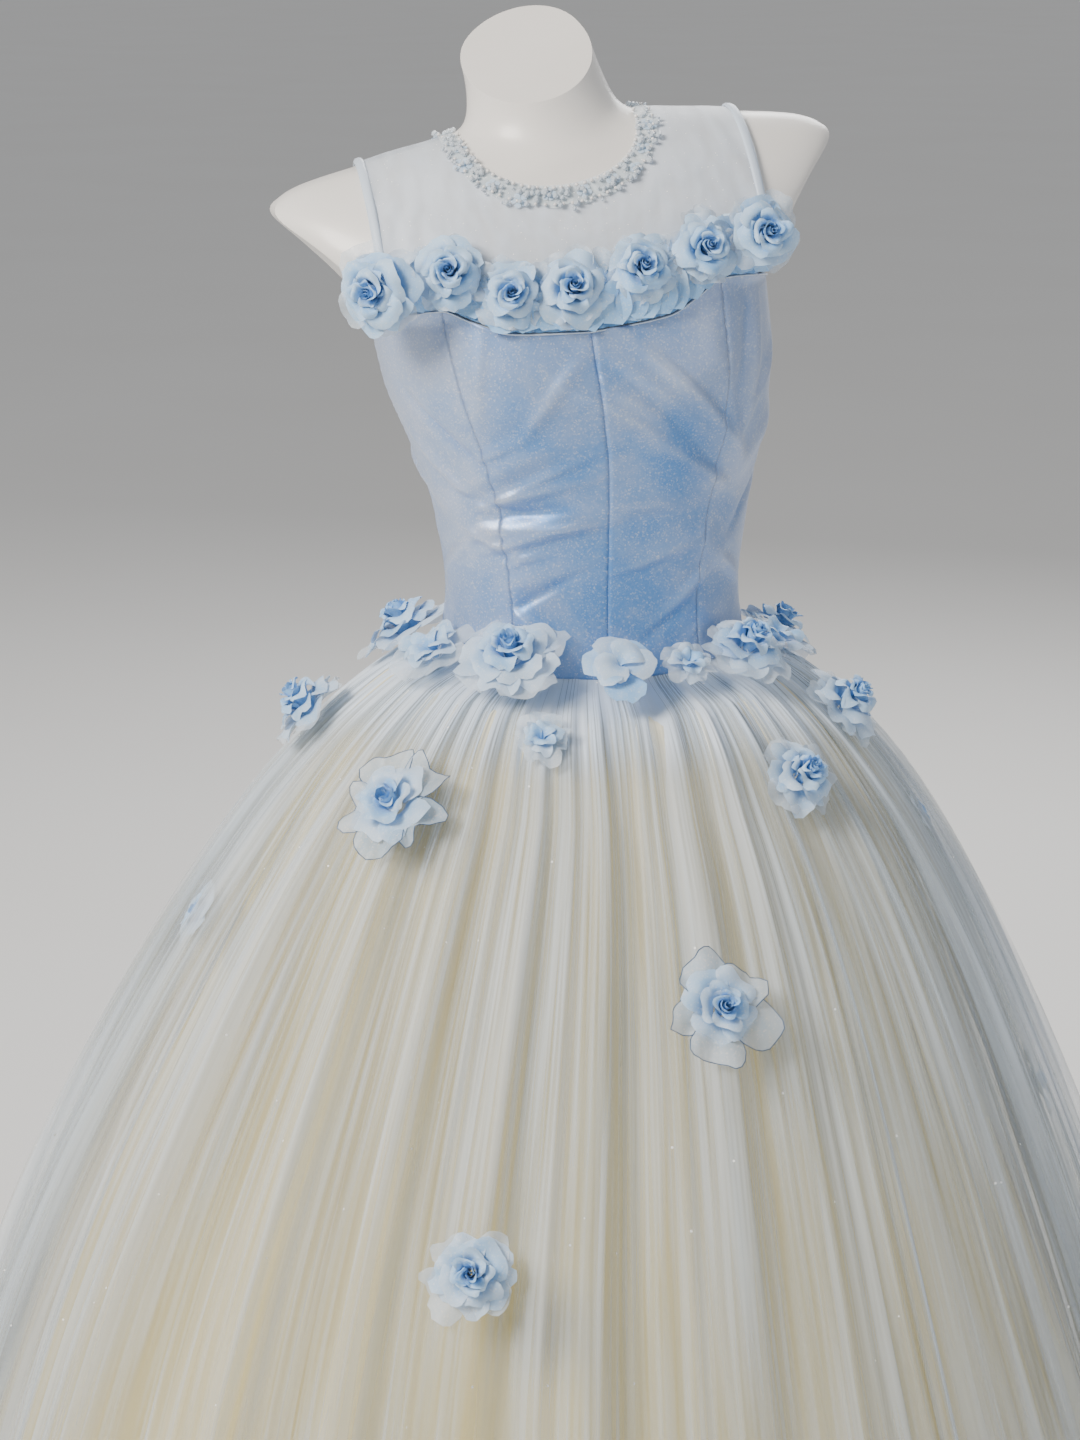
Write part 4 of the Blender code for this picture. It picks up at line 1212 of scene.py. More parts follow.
@dataclass(frozen=True)
class BodicePanel:
    """One satin panel, with its drag lines, and with puckers and a dip along its two seams."""

    node: str
    waist_angles: tuple[float, float]
    top_angles: tuple[float, float]
    sign: int
    flat: tuple[float, float]
    area: float
    columns: int = 44
    rows: int = 120
    thick: float = 0.0009
    outer: float = 0.0048
    seam_dip: float = 0.0005
    seam_half: float = 0.0011
    pucker: float = 0.00035
    fine_width: float = 0.0095
    fine_gain: float = 2.0
    pucker_mm: float = 9.0
    pucker_reach: float = 0.008
    drift_size: float = 0.0006
    edge_roll: float = 0.0006

    def relief(self, angle: Array, height: Array, from_seam: Array) -> Array:
        """How far the satin stands proud of its plain surface.

        Args:
            angle: Angle from the centre front.
            height: Height above the waist seam.
            from_seam: Distance to the nearer seam.

        Returns:
            The rise at each point.
        """
        width = FIGURE.half_width(height)
        total = np.zeros_like(height)
        for crease in CREASES:
            across = np.radians(angle - crease.angle) * width
            up = height - crease.height - crease.slope * across
            depth = crease.depth * (self.fine_gain if crease.width < self.fine_width else 1.0)
            total += depth * np.exp(-((across / crease.length) ** 2) - (up / crease.width) ** 2)
        uneven = 2.0 * np.sin(height * 61.0 + angle)
        ripples = np.sin(height * 2000 * math.pi / self.pucker_mm + uneven)
        total += self.pucker * ripples * np.exp(-from_seam / self.pucker_reach)
        total -= self.seam_dip * np.exp(-((from_seam / self.seam_half) ** 2))
        drift = np.sin(height * 47 + angle * 0.09) * np.sin(height * 23 - angle * 0.13 + 1.1)
        return total + self.drift_size * drift * smoothstep(from_seam, 0.0, 0.02)

    def build(self) -> None:
        """Builds the panel as a thin closed wall."""
        across = np.linspace(0.0, 1.0, self.columns + 1)
        up = np.linspace(0.0, 1.0, self.rows + 1)[:, None]
        low = self.waist_angles[0] + (self.top_angles[0] - self.waist_angles[0]) * up
        high = self.waist_angles[1] + (self.top_angles[1] - self.waist_angles[1]) * up
        angle = low + (high - low) * across
        waist, top = FIGURE.bodice_edge(angle, "waist"), FIGURE.bodice_edge(angle, "top")
        height = waist + (top - waist) * up
        width = np.radians(high - low) * FIGURE.half_width(height)
        from_seam = np.minimum(across, 1 - across) * width
        angle = self.sign * angle
        ease = self.outer + self.relief(angle, height, from_seam)
        ease += self.edge_roll * np.exp(-(((top - height) / 0.0022) ** 2))
        turn = np.radians(angle)
        drape = joined(np.cos(turn), np.sin(turn), height) * (0.12, 0.12, 1.0)
        # Painted sheen: more silver towards the sides and the top, and on every ridge where the
        # satin stands proud
        glint = smoothstep(np.abs(angle), 18.0, 70.0) * 0.7 + 0.45 * smoothstep(height, 0.14, 0.27)
        glint += 90.0 * (ease - self.outer)
        draft = MeshDraft()
        outer = FIGURE.round_point(angle, height, ease)
        inner = FIGURE.round_point(angle, height, ease - self.thick)
        draft.add_shell(outer, inner, drape=drape, shade=np.clip(glint, 0.0, 1.0))
        panel = draft.to_object(f"panel_{self.node}", [BODICE_SATIN.material()])
        settle(panel, [f"bodice_{self.node}"])


@dataclass(frozen=True)
class Bodice:
    """Eight fitted panels, the piping along their top, and the flap over the back opening."""

    waist_angles: tuple[float, ...] = (0.0, 34.5, 90.0, 143.0, 180.0)
    top_angles: tuple[float, ...] = (0.0, 41.0, 90.0, 137.0, 180.0)
    names: tuple[str, ...] = ("centre_front", "side_front", "side_back", "centre_back")
    flats: tuple[tuple[float, float], ...] = (
        (0.102, 0.275),
        (0.140, 0.285),
        (0.135, 0.270),
        (0.105, 0.262),
    )
    areas: tuple[float, ...] = (0.0242, 0.0285, 0.0242, 0.0236)
    piping: float = 0.0008
    flap_width: float = 0.0140
    flap_rows: int = 90
    flap_thick: float = 0.0009
    stitch_line: float = 0.38
    stitch: float = 0.00045

    def build(self) -> None:
        """Builds every panel, the piping and the flap."""
        for i, name in enumerate(self.names):
            for side, sign in (("left", 1), ("right", -1)):
                waist, top = self.waist_angles[i : i + 2], self.top_angles[i : i + 2]
                area = self.areas[i]
                BodicePanel(f"{name}_{side}", waist, top, sign, self.flats[i], area).build()
        self.build_piping()
        self.build_flap()

    def build_piping(self) -> None:
        """Builds the thin rolled edge along the bodice's top."""
        angle = np.linspace(-180.0, 180.0, 361)[:-1]
        path = FIGURE.round_point(angle, FIGURE.bodice_edge(angle, "top") - 0.0006, 0.0050)
        draft = MeshDraft()
        ring = tube_grid(np.concatenate([path, path[:1]]), self.piping, 6)
        draft.add_grid(np.concatenate([ring, ring[:, :1]], axis=1))
        settle(draft.to_object("bodice_top_piping", [BINDING_SATIN.material()]))

    def build_flap(self) -> None:
        """Builds the narrow flap down the centre back, stitched along both edges."""
        low = float(FIGURE.bodice_edge(180.0, "waist")) + EDGE_CLEAR
        high = NECK_BACK - 0.012 - EDGE_CLEAR
        height = np.linspace(low, high, self.flap_rows)[:, None]
        x = np.linspace(-0.5, 0.5, 13) * self.flap_width
        top = float(FIGURE.bodice_edge(180.0, "top"))
        lift = 0.0058 - 0.0030 * smoothstep(height, top, top + 0.006)
        across = np.abs(x) / self.flap_width * 2
        ease = lift + self.flap_thick - 0.0007 * across**6
        ease = ease + 0.0002 * np.sin(height * 640.0) * across
        turn = np.broadcast_to(x * 4.0, ease.shape)
        drape = joined(turn, 0.0, height)
        draft = MeshDraft()
        outer, inner = (
            FIGURE.point(x, height, False, ease - less) for less in (0.0, self.flap_thick)
        )
        draft.add_shell(outer, inner, drape=drape)
        thread = MeshDraft()
        for side in (-1, 1):
            at = side * self.flap_width * self.stitch_line
            line = FIGURE.point(at, height[:, 0], False, lift[:, 0] + 0.0010)
            for first, last in zip(line[:-1:2], line[1::2]):
                thread.add_grid(tube_grid(np.stack([first, last]), self.stitch, 4), wraps=True)
        settle(thread.to_object("back_flap_stitches", [STITCH.material()]))
        flap = draft.to_object("back_closing_flap", [BODICE_SATIN.material()])
        settle(flap, ["back_flap"])


@dataclass(frozen=True)
class Yoke:
    """The sheer yoke, its armhole bindings and the beaded band round its neckline."""

    half_width: float = 0.1425
    ease: float = 0.0016
    columns: int = 48
    rows: int = 60
    binding_width: float = 0.0068
    binding_rows: int = 110
    binding_roll: float = 0.0019
    binding_under: float = 0.0024
    band_width: float = 0.0120
    wrinkle: float = 0.0009
    wrinkle_reach: float = 0.022
    slack: float = 0.0004
    drape_height: float = 0.17
    binding_lift: float = 0.0026
    band_lift: float = 0.0030
    band_columns: int = 241
    pearl_step: float = 0.088
    pearl_rows: tuple[tuple[float, float], ...] = ((0.0012, 0.0015), (0.0120, 0.0013))
    crystals: int = 320
    crystal_sizes: tuple[float, float] = (0.0011, 0.0025)
    lace_step: float = 0.31
    lace_sizes: tuple[float, float] = (0.0050, 0.0078)
    lace_heart: float = 0.0018

    def piece(self, name: str, node: str, ends: tuple[float, float], front: bool) -> None:
        """Builds one piece of the yoke.

        Args:
            name: The piece's name.
            node: The CAD node that it stands for.
            ends: The x of its two edges.
            front: Whether it is the front, and not the back.
        """
        columns = self.columns * (2 if front else 1)
        x = np.linspace(*ends, columns + 1)
        low = FIGURE.edge_at(x, front) - SEAM_LAP
        share = np.sin(np.linspace(0.0, math.pi / 2, self.rows + 1))[:, None]
        ridge = FIGURE.ridge_height(x)
        near_arm = np.exp(-(self.half_width - np.abs(x)) / self.wrinkle_reach)
        folds = np.sin(np.abs(x) * 330 + 5.0 * share + 1.5 * np.sin(9 * share))
        ease = self.ease + self.wrinkle * near_arm * (0.6 + folds) * (1 - share) ** 0.5 * share * 3
        ripple = np.sin(x * 90 + share * 7) * np.sin(share * 11 + x * 40)
        ease += self.slack * ripple + self.slack
        high = np.where(np.abs(x) < NECK_HALF_WIDTH, FIGURE.neckline(x, front), ridge + ease)
        grid = FIGURE.point(x, low + (high - low) * share, front, ease)
        drape = joined(x, 0.0, self.drape_height * share)
        draft = MeshDraft()
        draft.add_grid(grid, shade=1.0, drape=drape)
        made = draft.to_object(name, [YOKE_ORGANZA.material()])
        settle(made, [node])

    def build_binding(self, side: str, sign: int) -> None:
        """Builds one rolled armhole binding with its gathers.

        Args:
            side: The side's name.
            sign: 1 on the left, -1 on the right.
        """
        middle = self.half_width - self.binding_width / 2
        around = np.linspace(-1.0, 1.0, 9)
        x = sign * (middle + around * self.binding_width / 2)
        share = np.linspace(0.0, 2.0, self.binding_rows)[:, None]
        front = share < 1.0
        climb = np.sin(np.where(front, share, 2.0 - share) * math.pi / 2)
        low = FIGURE.edge_at(x, front) + EDGE_CLEAR
        gathers = 1 + 0.12 * np.sin(share * 190.0)
        roll = self.binding_roll * np.sqrt(np.maximum(1 - around**2, 0.0)) * gathers
        ease = self.binding_lift + roll
        height = low + (FIGURE.ridge_height(x) + ease - low) * climb
        draft = MeshDraft()
        grid = FIGURE.point(x, height, front, ease)
        lower = low + (FIGURE.ridge_height(x) + self.binding_under - low) * climb
        under = FIGURE.point(x, lower, front, self.binding_under)
        draft.add_shell(grid, under, drape=joined(x, 0.0, self.drape_height * share))
        made = draft.to_object(f"armhole_binding_{side}", [BINDING_SATIN.material()])
        settle(made, [f"binding_{side}"])

    def build_neck_band(self) -> None:
        """Builds the net band, and the pearls, crystals and lace flowers sewn on it."""
        end = math.pi - 0.004
        turn = np.linspace(-end, end, self.band_columns)
        grow = np.linspace(0.0, self.band_width, 8)[:, None]
        scallop = 1.0 + 0.22 * np.abs(np.sin(turn * 11.0))
        ease = self.band_lift + 0.0003 * np.sin(turn * 40)
        grid = FIGURE.neck_point(turn + 0 * grow, grow * scallop, ease + 0 * grow)
        drape = joined(0.07 * turn, 0.0, grow)
        draft = MeshDraft()
        draft.add_grid(grid, shade=1.0, drape=drape)
        net = draft.to_object("neck_band_net", [BEAD_NET.material()])
        settle(net, ["neck_band"])
        self.build_beads()

    def build_beads(self) -> None:
        """Scatters pearls, crystals and small lace flowers along the band."""
        draw = np.random.default_rng(41)
        pearls, crystals, lace = MeshDraft(), MeshDraft(), MeshDraft()
        ball, ball_faces = unit_ball(2)
        stone, stone_faces = unit_ball(1)
        for turn in np.arange(-3.05, 3.06, self.pearl_step):
            for grow, size in self.pearl_rows:
                centre = self.on_band(turn + draw.normal(0, 0.006), grow, size)
                pearls.add(ball * size + centre, ball_faces)
        for _ in range(self.crystals):
            size = draw.uniform(*self.crystal_sizes)
            grow = draw.uniform(0.001, self.band_width * 1.35)
            centre = self.on_band(draw.uniform(-3.05, 3.05), grow, size)
            crystals.add(stone * size + centre, stone_faces)
        for turn in np.arange(-2.95, 2.96, self.lace_step):
            turn = turn + draw.normal(0, 0.04)
            grow = draw.uniform(0.004, 0.013)
            size = draw.uniform(*self.lace_sizes)
            self.lace_flower(lace, turn, grow, size, draw.uniform(0, 6.0))
            centre = self.on_band(turn, grow, 0.0030)
            crystals.add(stone * self.lace_heart + centre, stone_faces)
        settle(pearls.to_object("neck_pearls", [PEARL.material()]))
        stones = crystals.to_object("neck_crystals", [CRYSTAL.material()], smooth=False)
        settle(stones)
        settle(lace.to_object("neck_lace_flowers", [PALE_PETAL.material()]))

    def on_band(self, turn: float, grow: float, lift: float) -> Array:
        """A point at a lift above the band, by the angle and the distance down."""
        return FIGURE.neck_point(np.array(turn), np.array(grow), np.array(0.0032 + lift))

    def lace_flower(
        self, draft: MeshDraft, turn: float, grow: float, size: float, spin: float
    ) -> None:
        """Adds a small five-petalled lace flower to the band.

        Args:
            draft: The draft that it is added to.
            turn: Its angle round the neck.
            grow: Its distance down the band.
            size: Its radius.
            spin: The way that its first petal points.
        """

        def band(u: float, v: float) -> Array:
            """A point on the band, by the angle and the distance down."""
            return FIGURE.neck_point(np.array(u), np.array(v), np.array(0.0034))

        centre, normal = band(turn, grow), normal_of(band, turn, grow, 0.01)
        outward = centre - FIGURE.neck_point(np.array(turn), np.array(grow), np.array(0.0))
        normal = normal if normal @ outward > 0 else -normal
        side = np.cross(normal, (0.0, 0.0, 1.0))
        side /= np.linalg.norm(side)
        other = np.cross(normal, side)
        aside = np.linspace(-1, 1, 5)[:, None]
        for k in range(5):
            around = spin + k * 2 * math.pi / 5 + 0.55 * aside
            reach = np.array([0.15, 0.6, 1.0]) * size * (1 - 0.18 * aside**2)
            flat = np.cos(around)[..., None] * side + np.sin(around)[..., None] * other
            rise = np.array([0.0, 0.0010, 0.0006])[None, :, None] * normal
            grid = centre + flat * reach[..., None] + rise
            draft.add_grid(grid, shade=np.broadcast_to(np.array([0.6, 1.0, 1.0]), grid.shape[:2]))

    def build(self) -> None:
        """Builds the yoke, its bindings and its band."""
        edge = self.half_width
        self.piece("yoke_front_organza", "yoke_front", (-edge, edge), True)
        self.piece("yoke_back_left_organza", "yoke_back_left", (SEAM_GAP / 2, edge), False)
        self.piece("yoke_back_right_organza", "yoke_back_right", (-edge, -SEAM_GAP / 2), False)
        self.build_binding("left", 1)
        self.build_binding("right", -1)
        self.build_neck_band()


def unit_ball(fineness: int) -> tuple[Array, Array]:
    """A ball of radius 1 from triangles.

    Args:
        fineness: How often its faces are divided.

    Returns:
        Its points and its faces.
    """
    ball = bmesh.new()
    bmesh.ops.create_icosphere(ball, subdivisions=fineness, radius=1.0)
    points = np.array([tuple(v.co) for v in ball.verts])
    faces = np.array([[v.index for v in f.verts] for f in ball.faces])
    ball.free()
    return points, faces


@dataclass(frozen=True)
class Ply:
    """One layer of the skirt; a lap below 0 takes its top above the bodice's waist edge."""

    name: str
    layer: str
    slot: str
    finish: Finish
    ease: float
    inset: float
    gathers: int
    share: float
    fine_count: int
    fine_share: float
    columns: int
    rows: int
    seed: int
    lap: float
    flat: tuple[float, float]
    area: float


@dataclass(frozen=True)
class Skirt:
    """The gathered skirt: three plies of tulle over a champagne lining."""

    plies: tuple[Ply, ...] = (
        Ply(
            "skirt_lining_satin", "skirt_lining", "lining_champagne", LINING_SATIN,
            ease=0.0006, inset=0.060, gathers=24, share=0.40, fine_count=64, fine_share=0.20,
            columns=640, rows=60, seed=3, lap=-SEAM_LAP, flat=(3.50, 1.18), area=2.60,
        ),
        Ply(
            "skirt_tulle_ply_3", "skirt_tulle_under", "tulle_under", UNDER_TULLE,
            ease=0.0036, inset=0.032, gathers=32, share=0.72, fine_count=90, fine_share=0.80,
            columns=900, rows=56, seed=5, lap=-0.0040, flat=(4.20, 1.18), area=3.20,
        ),
        Ply(
            "skirt_tulle_ply_2", "", "tulle_outer", MIDDLE_TULLE,
            ease=0.0048, inset=0.015, gathers=48, share=0.90, fine_count=104, fine_share=0.80,
            columns=1000, rows=56, seed=7, lap=-0.0035, flat=(4.60, 1.20), area=3.50,
        ),
        Ply(
            "skirt_tulle_ply_1", "skirt_tulle_top", "tulle_outer", OUTER_TULLE,
            ease=0.0060, inset=0.000, gathers=48, share=1.00, fine_count=118, fine_share=1.00,
            columns=1180, rows=64, seed=11, lap=-0.0030, flat=(4.90, 1.20), area=3.80,
        ),
    )
    top_rows: float = 0.28
    tuck: float = 0.0022
    tuck_below: float = 0.020
    tuck_step: float = 1.2
    crisp: float = 0.85
    nest: float = 0.45
    gather_in: tuple[float, float] = (0.03, 0.12)
    body_reach: float = 0.060
    cover: float = 1.15
    cover_fade: float = 0.40
    cover_waist: float = 4.0
    crest_cover_and_highlight: float = 0.60
    cover_pleat: float = 0.12
    veil_thin: float = 0.78
    veil_reach: float = 0.038
    side_radius: float = 0.33
    dense_rows_above: float = 0.07
    drape_radius: float = 0.35
    knots: int = 90
    fine_warp: tuple[Wave, ...] = (Wave(7, 0.030, 1.0), Wave(13, 0.016, 2.2), Wave(29, 0.008, 0.4))

    def outline(self, angle: Array, drop: Array, out: Array) -> Array:
        """World points on the skirt, moved out from its plain outline.

        Args:
            angle: Angle in degrees from the centre front.
            drop: Distance below the waist seam.
            out: How far each point is moved out.

        Returns:
            The points.
        """
        turn = np.radians(angle)
        front, back = (column(SKIRT_OUTLINE, side, drop, "drop") for side in ("front", "back"))
        wide = column(SKIRT_OUTLINE, "half_width", drop, "drop") + out
        deep = np.where(np.cos(turn) >= 0, front, back) + out
        power = 2 / (ROUNDNESS + (2.0 - ROUNDNESS) * smoothstep(drop, 0.0, ROUND_BELOW))
        x = FIGURE.hip_shift(-drop) + wide * signed_power(np.sin(turn), power)
        y = -deep * signed_power(np.cos(turn), power)
        return joined(x, y, WAIST_Z - drop)

    def folds(self, ply: Ply, turn: Array, drop: Array) -> tuple[Array, Array]:
        """The height of a ply's gathers, folds and fine pleats, and the pleats' share of it.

        Args:
            ply: The layer.
            turn: Angle in radians.
            drop: Distance below the waist seam.

        Returns:
            How far each point stands out, and the fine pleats alone from -1 to 1.
        """
        uneven = turn + waves(SPACING_WAVES, turn)
        gathers = np.cos(ply.gathers * uneven) * column(SKIRT_OUTLINE, "gather", drop, "drop")
        size = FOLD_SIZE + waves(FOLD_SIZE_WAVES, turn)
        folds = np.cos(FOLDS * uneven + FOLD_START)
        folds = folds * column(SKIRT_OUTLINE, "fold", drop, "drop") * size
        draw = np.random.default_rng(ply.seed)
        heights = draw.uniform(0.25, 1.15, self.knots)
        place = (turn / (2 * math.pi) % 1.0) * self.knots + 2.2 * drop
        known = np.arange(self.knots + 1)
        strength = np.interp(place % self.knots, known, np.append(heights, heights[0]))
        phase = ply.fine_count * (turn + waves(self.fine_warp, turn + ply.seed)) + ply.seed
        pleats = 1 - 2 * np.abs(np.sin(phase / 2)) ** self.crisp
        fine = pleats * strength * column(SKIRT_OUTLINE, "fine", drop, "drop") * ply.fine_share
        total = ply.share * (gathers + folds) + fine
        return total, fine / np.max(np.abs(fine), axis=1, keepdims=True)

    def near_veiled(self, angle: Array, drop: Array) -> Array:
        """How near each point is to a flower under the outer plies.

        Args:
            angle: Angle in degrees from the centre front.
            drop: Distance below the waist seam.

        Returns:
            From 0, far away, to 1 on a flower's middle.
        """
        near = 0.0 * (angle + drop)
        for flower in VEILED_FLOWERS:
            across = np.radians(angle - flower.angle) * self.side_radius
            away = (across**2 + (drop - flower.drop) ** 2) / self.veil_reach**2
            near = np.maximum(near, np.exp(-away))
        return near

    def build(self) -> None:
        """Builds the lining and the plies."""
        for ply in self.plies:
            self.build_ply(ply)

    def build_ply(self, ply: Ply) -> None:
        """Builds one layer all round, denser in rows where the gathers open out.

        Args:
            ply: The layer.
        """
        angle = np.linspace(-180.0, 180.0, ply.columns, endpoint=False)
        near = int(ply.rows * self.top_rows)
        last = SKIRT_OUTLINE[-1].drop
        border = self.dense_rows_above
        upper = border * np.linspace(0.0, 1.0, near) ** 1.4
        rows = np.concatenate([upper, np.linspace(border, last, ply.rows - near + 1)[1:]])
        lower = -FIGURE.bodice_edge(angle, "waist") + ply.lap
        drop = rows[:, None] + lower * (1 - smoothstep(rows[:, None], 0.0, self.body_reach))
        turn = np.radians(angle)[None] + 0.0 * drop
        relief, pleats = self.folds(ply, turn, drop)
        nested = np.maximum(relief, -self.nest * ply.ease)
        relief = nested + (relief - nested) * smoothstep(drop, *self.gather_in)
        out = ply.ease - ply.inset * smoothstep(drop, 0.0, INSET_BELOW) + relief
        # Each inner layer leaves the body a little lower, so that none shows above the next
        under_edge = drop + FIGURE.bodice_edge(angle, "waist") - self.tuck_step * (0.006 - ply.ease)
        below = smoothstep(under_edge, -0.003, self.tuck_below)[..., None]
        on_body = FIGURE.round_point(angle + 0.0 * drop, -drop, self.tuck + 0.2 * ply.ease)
        grid = on_body * (1 - below) + self.outline(angle + 0.0 * drop, drop, out) * below
        cover = self.cover - self.cover_fade * smoothstep(drop, 0.05, 0.50)
        cover = cover + self.cover_waist * (1 - smoothstep(drop, 0.0, border))
        # More net on each pleat's crest: partly the net's own density, partly a painted highlight
        # that makes the crests read as bright creases
        crest_density_and_highlight = self.crest_cover_and_highlight * np.clip(pleats, 0.0, 1.0) ** 4
        cover = cover * (1 + crest_density_and_highlight + self.cover_pleat * pleats)
        if ply.slot == "tulle_outer":
            cover = cover * (1 - self.veil_thin * self.near_veiled(angle, drop))
        drape = joined(self.drape_radius * np.cos(turn), self.drape_radius * np.sin(turn), drop)
        draft = MeshDraft()
        draft.add_grid(grid, wraps=True, shade=cover, drape=drape)
        made = draft.to_object(ply.name, [ply.finish.material()])
        sides = ("front", "back_left", "back_right") if ply.layer else ()
        settle(made, [f"{ply.layer}_{side}" for side in sides])


class PetalCloth(Enum):
    """Which cloth a ring of petals is cut from; the value is its slot on the flower."""

    BLUE = 0
    PALE = 1
    SHEER = 2


@dataclass(frozen=True)
class PetalRing:
    """One ring of petals; lengths are shares of the flower's radius and rise."""

    count: int
    base: float
    reach: float
    low: float
    high: float
    width: float
    curl: float
    cloth: PetalCloth = PetalCloth.BLUE
    shade: tuple[float, float] = (0.1, 0.9)
    wrap: float = 0.06
    ruffle: float = 0.05
    wired: bool = False
    notch: float = 0.10


BLUE, PALE, SHEER = PetalCloth.BLUE, PetalCloth.PALE, PetalCloth.SHEER
PETAL_FINISHES = (ROSE_PETAL, PALE_PETAL, SHEER_PETAL, EDGE_WIRE)
WIRE_SLOT = 3


class FlowerKind(Enum):
    """The sorts of flower on the gown, each with its rings from the heart out."""

    ROSE = (
        PetalRing(3, 0.12, 0.34, 0.25, 1.04, 84.0, 0.05, shade=(0.10, 0.75), wrap=0.09, notch=0.04),
        PetalRing(4, 0.18, 0.58, 0.16, 0.94, 68.0, 0.24, shade=(0.05, 0.85), wrap=0.11, notch=0.05),
        PetalRing(4, 0.22, 0.86, 0.08, 0.72, 64.0, 0.34, shade=(0.05, 0.90), wrap=0.09, notch=0.06),
        PetalRing(
            5, 0.26, 1.12, 0.00, 0.40, 56.0, 0.24, BLUE, (0.10, 1.00), 0.06, 0.05, notch=0.07
        ),
        PetalRing(4, 0.26, 1.24, 0.00, 0.20, 46.0, 0.10, SHEER, (0.20, 0.90), 0.03, 0.09),
    )
    FULL_ROSE = (
        PetalRing(3, 0.07, 0.22, 0.25, 1.02, 82.0, 0.02, shade=(0.00, 0.50), wrap=0.08, notch=0.04),
        PetalRing(4, 0.10, 0.38, 0.20, 0.98, 66.0, 0.12, shade=(0.10, 0.75), wrap=0.09, notch=0.06),
        PetalRing(4, 0.16, 0.60, 0.12, 0.82, 60.0, 0.26, shade=(0.15, 0.90), wrap=0.08),
        PetalRing(4, 0.20, 0.88, 0.04, 0.52, 56.0, 0.26, PALE, (0.05, 0.85), 0.06, 0.04),
        PetalRing(5, 0.22, 1.16, 0.00, 0.26, 46.0, 0.16, PALE, (0.20, 1.00), 0.05, 0.05),
        PetalRing(4, 0.22, 1.30, 0.00, 0.12, 44.0, 0.06, SHEER, (0.40, 1.00), 0.02, 0.09),
    )
    SATIN_DISCS = (
        PetalRing(2, 0.02, 0.66, 0.35, 0.95, 78.0, 0.34, PALE, (0.45, 1.00), 0.02, 0.02, notch=0.0),
        PetalRing(3, 0.06, 0.92, 0.10, 0.70, 60.0, 0.26, PALE, (0.10, 0.85), 0.05, 0.02, notch=0.0),
        PetalRing(
            3, 0.10, 1.06, 0.00, 0.34, 54.0, 0.16, BLUE, (0.20, 0.75), 0.04, 0.02, notch=0.02
        ),
    )
    TUFT = (
        PetalRing(3, 0.06, 0.60, 0.10, 0.95, 70.0, 0.16, BLUE, (0.15, 0.85), 0.08, 0.08),
        PetalRing(4, 0.08, 0.92, 0.06, 0.70, 56.0, 0.16, PALE, (0.10, 0.90), 0.06, 0.09),
        PetalRing(5, 0.12, 1.26, 0.00, 0.40, 48.0, 0.10, SHEER, (0.25, 1.00), 0.04, 0.12),
    )
    WIRED = (
        PetalRing(3, 0.06, 0.24, 0.30, 1.02, 82.0, 0.02, BLUE, (0.10, 0.70), 0.08, notch=0.04),
        PetalRing(4, 0.12, 0.50, 0.20, 0.95, 64.0, 0.16, PALE, (0.00, 0.85), 0.08),
        PetalRing(4, 0.16, 0.80, 0.08, 0.62, 58.0, 0.24, PALE, (0.05, 0.95), 0.06, 0.06),
        PetalRing(5, 0.18, 1.12, 0.00, 0.42, 46.0, 0.14, SHEER, (0.10, 0.90), 0.04, 0.13, True),
    )
    VEILED = (
        PetalRing(3, 0.06, 0.45, 0.25, 1.00, 72.0, 0.08, BLUE, (0.20, 0.80), 0.06),
        PetalRing(5, 0.12, 1.02, 0.00, 0.60, 48.0, 0.15, PALE, (0.30, 1.00), 0.04, 0.06),
    )


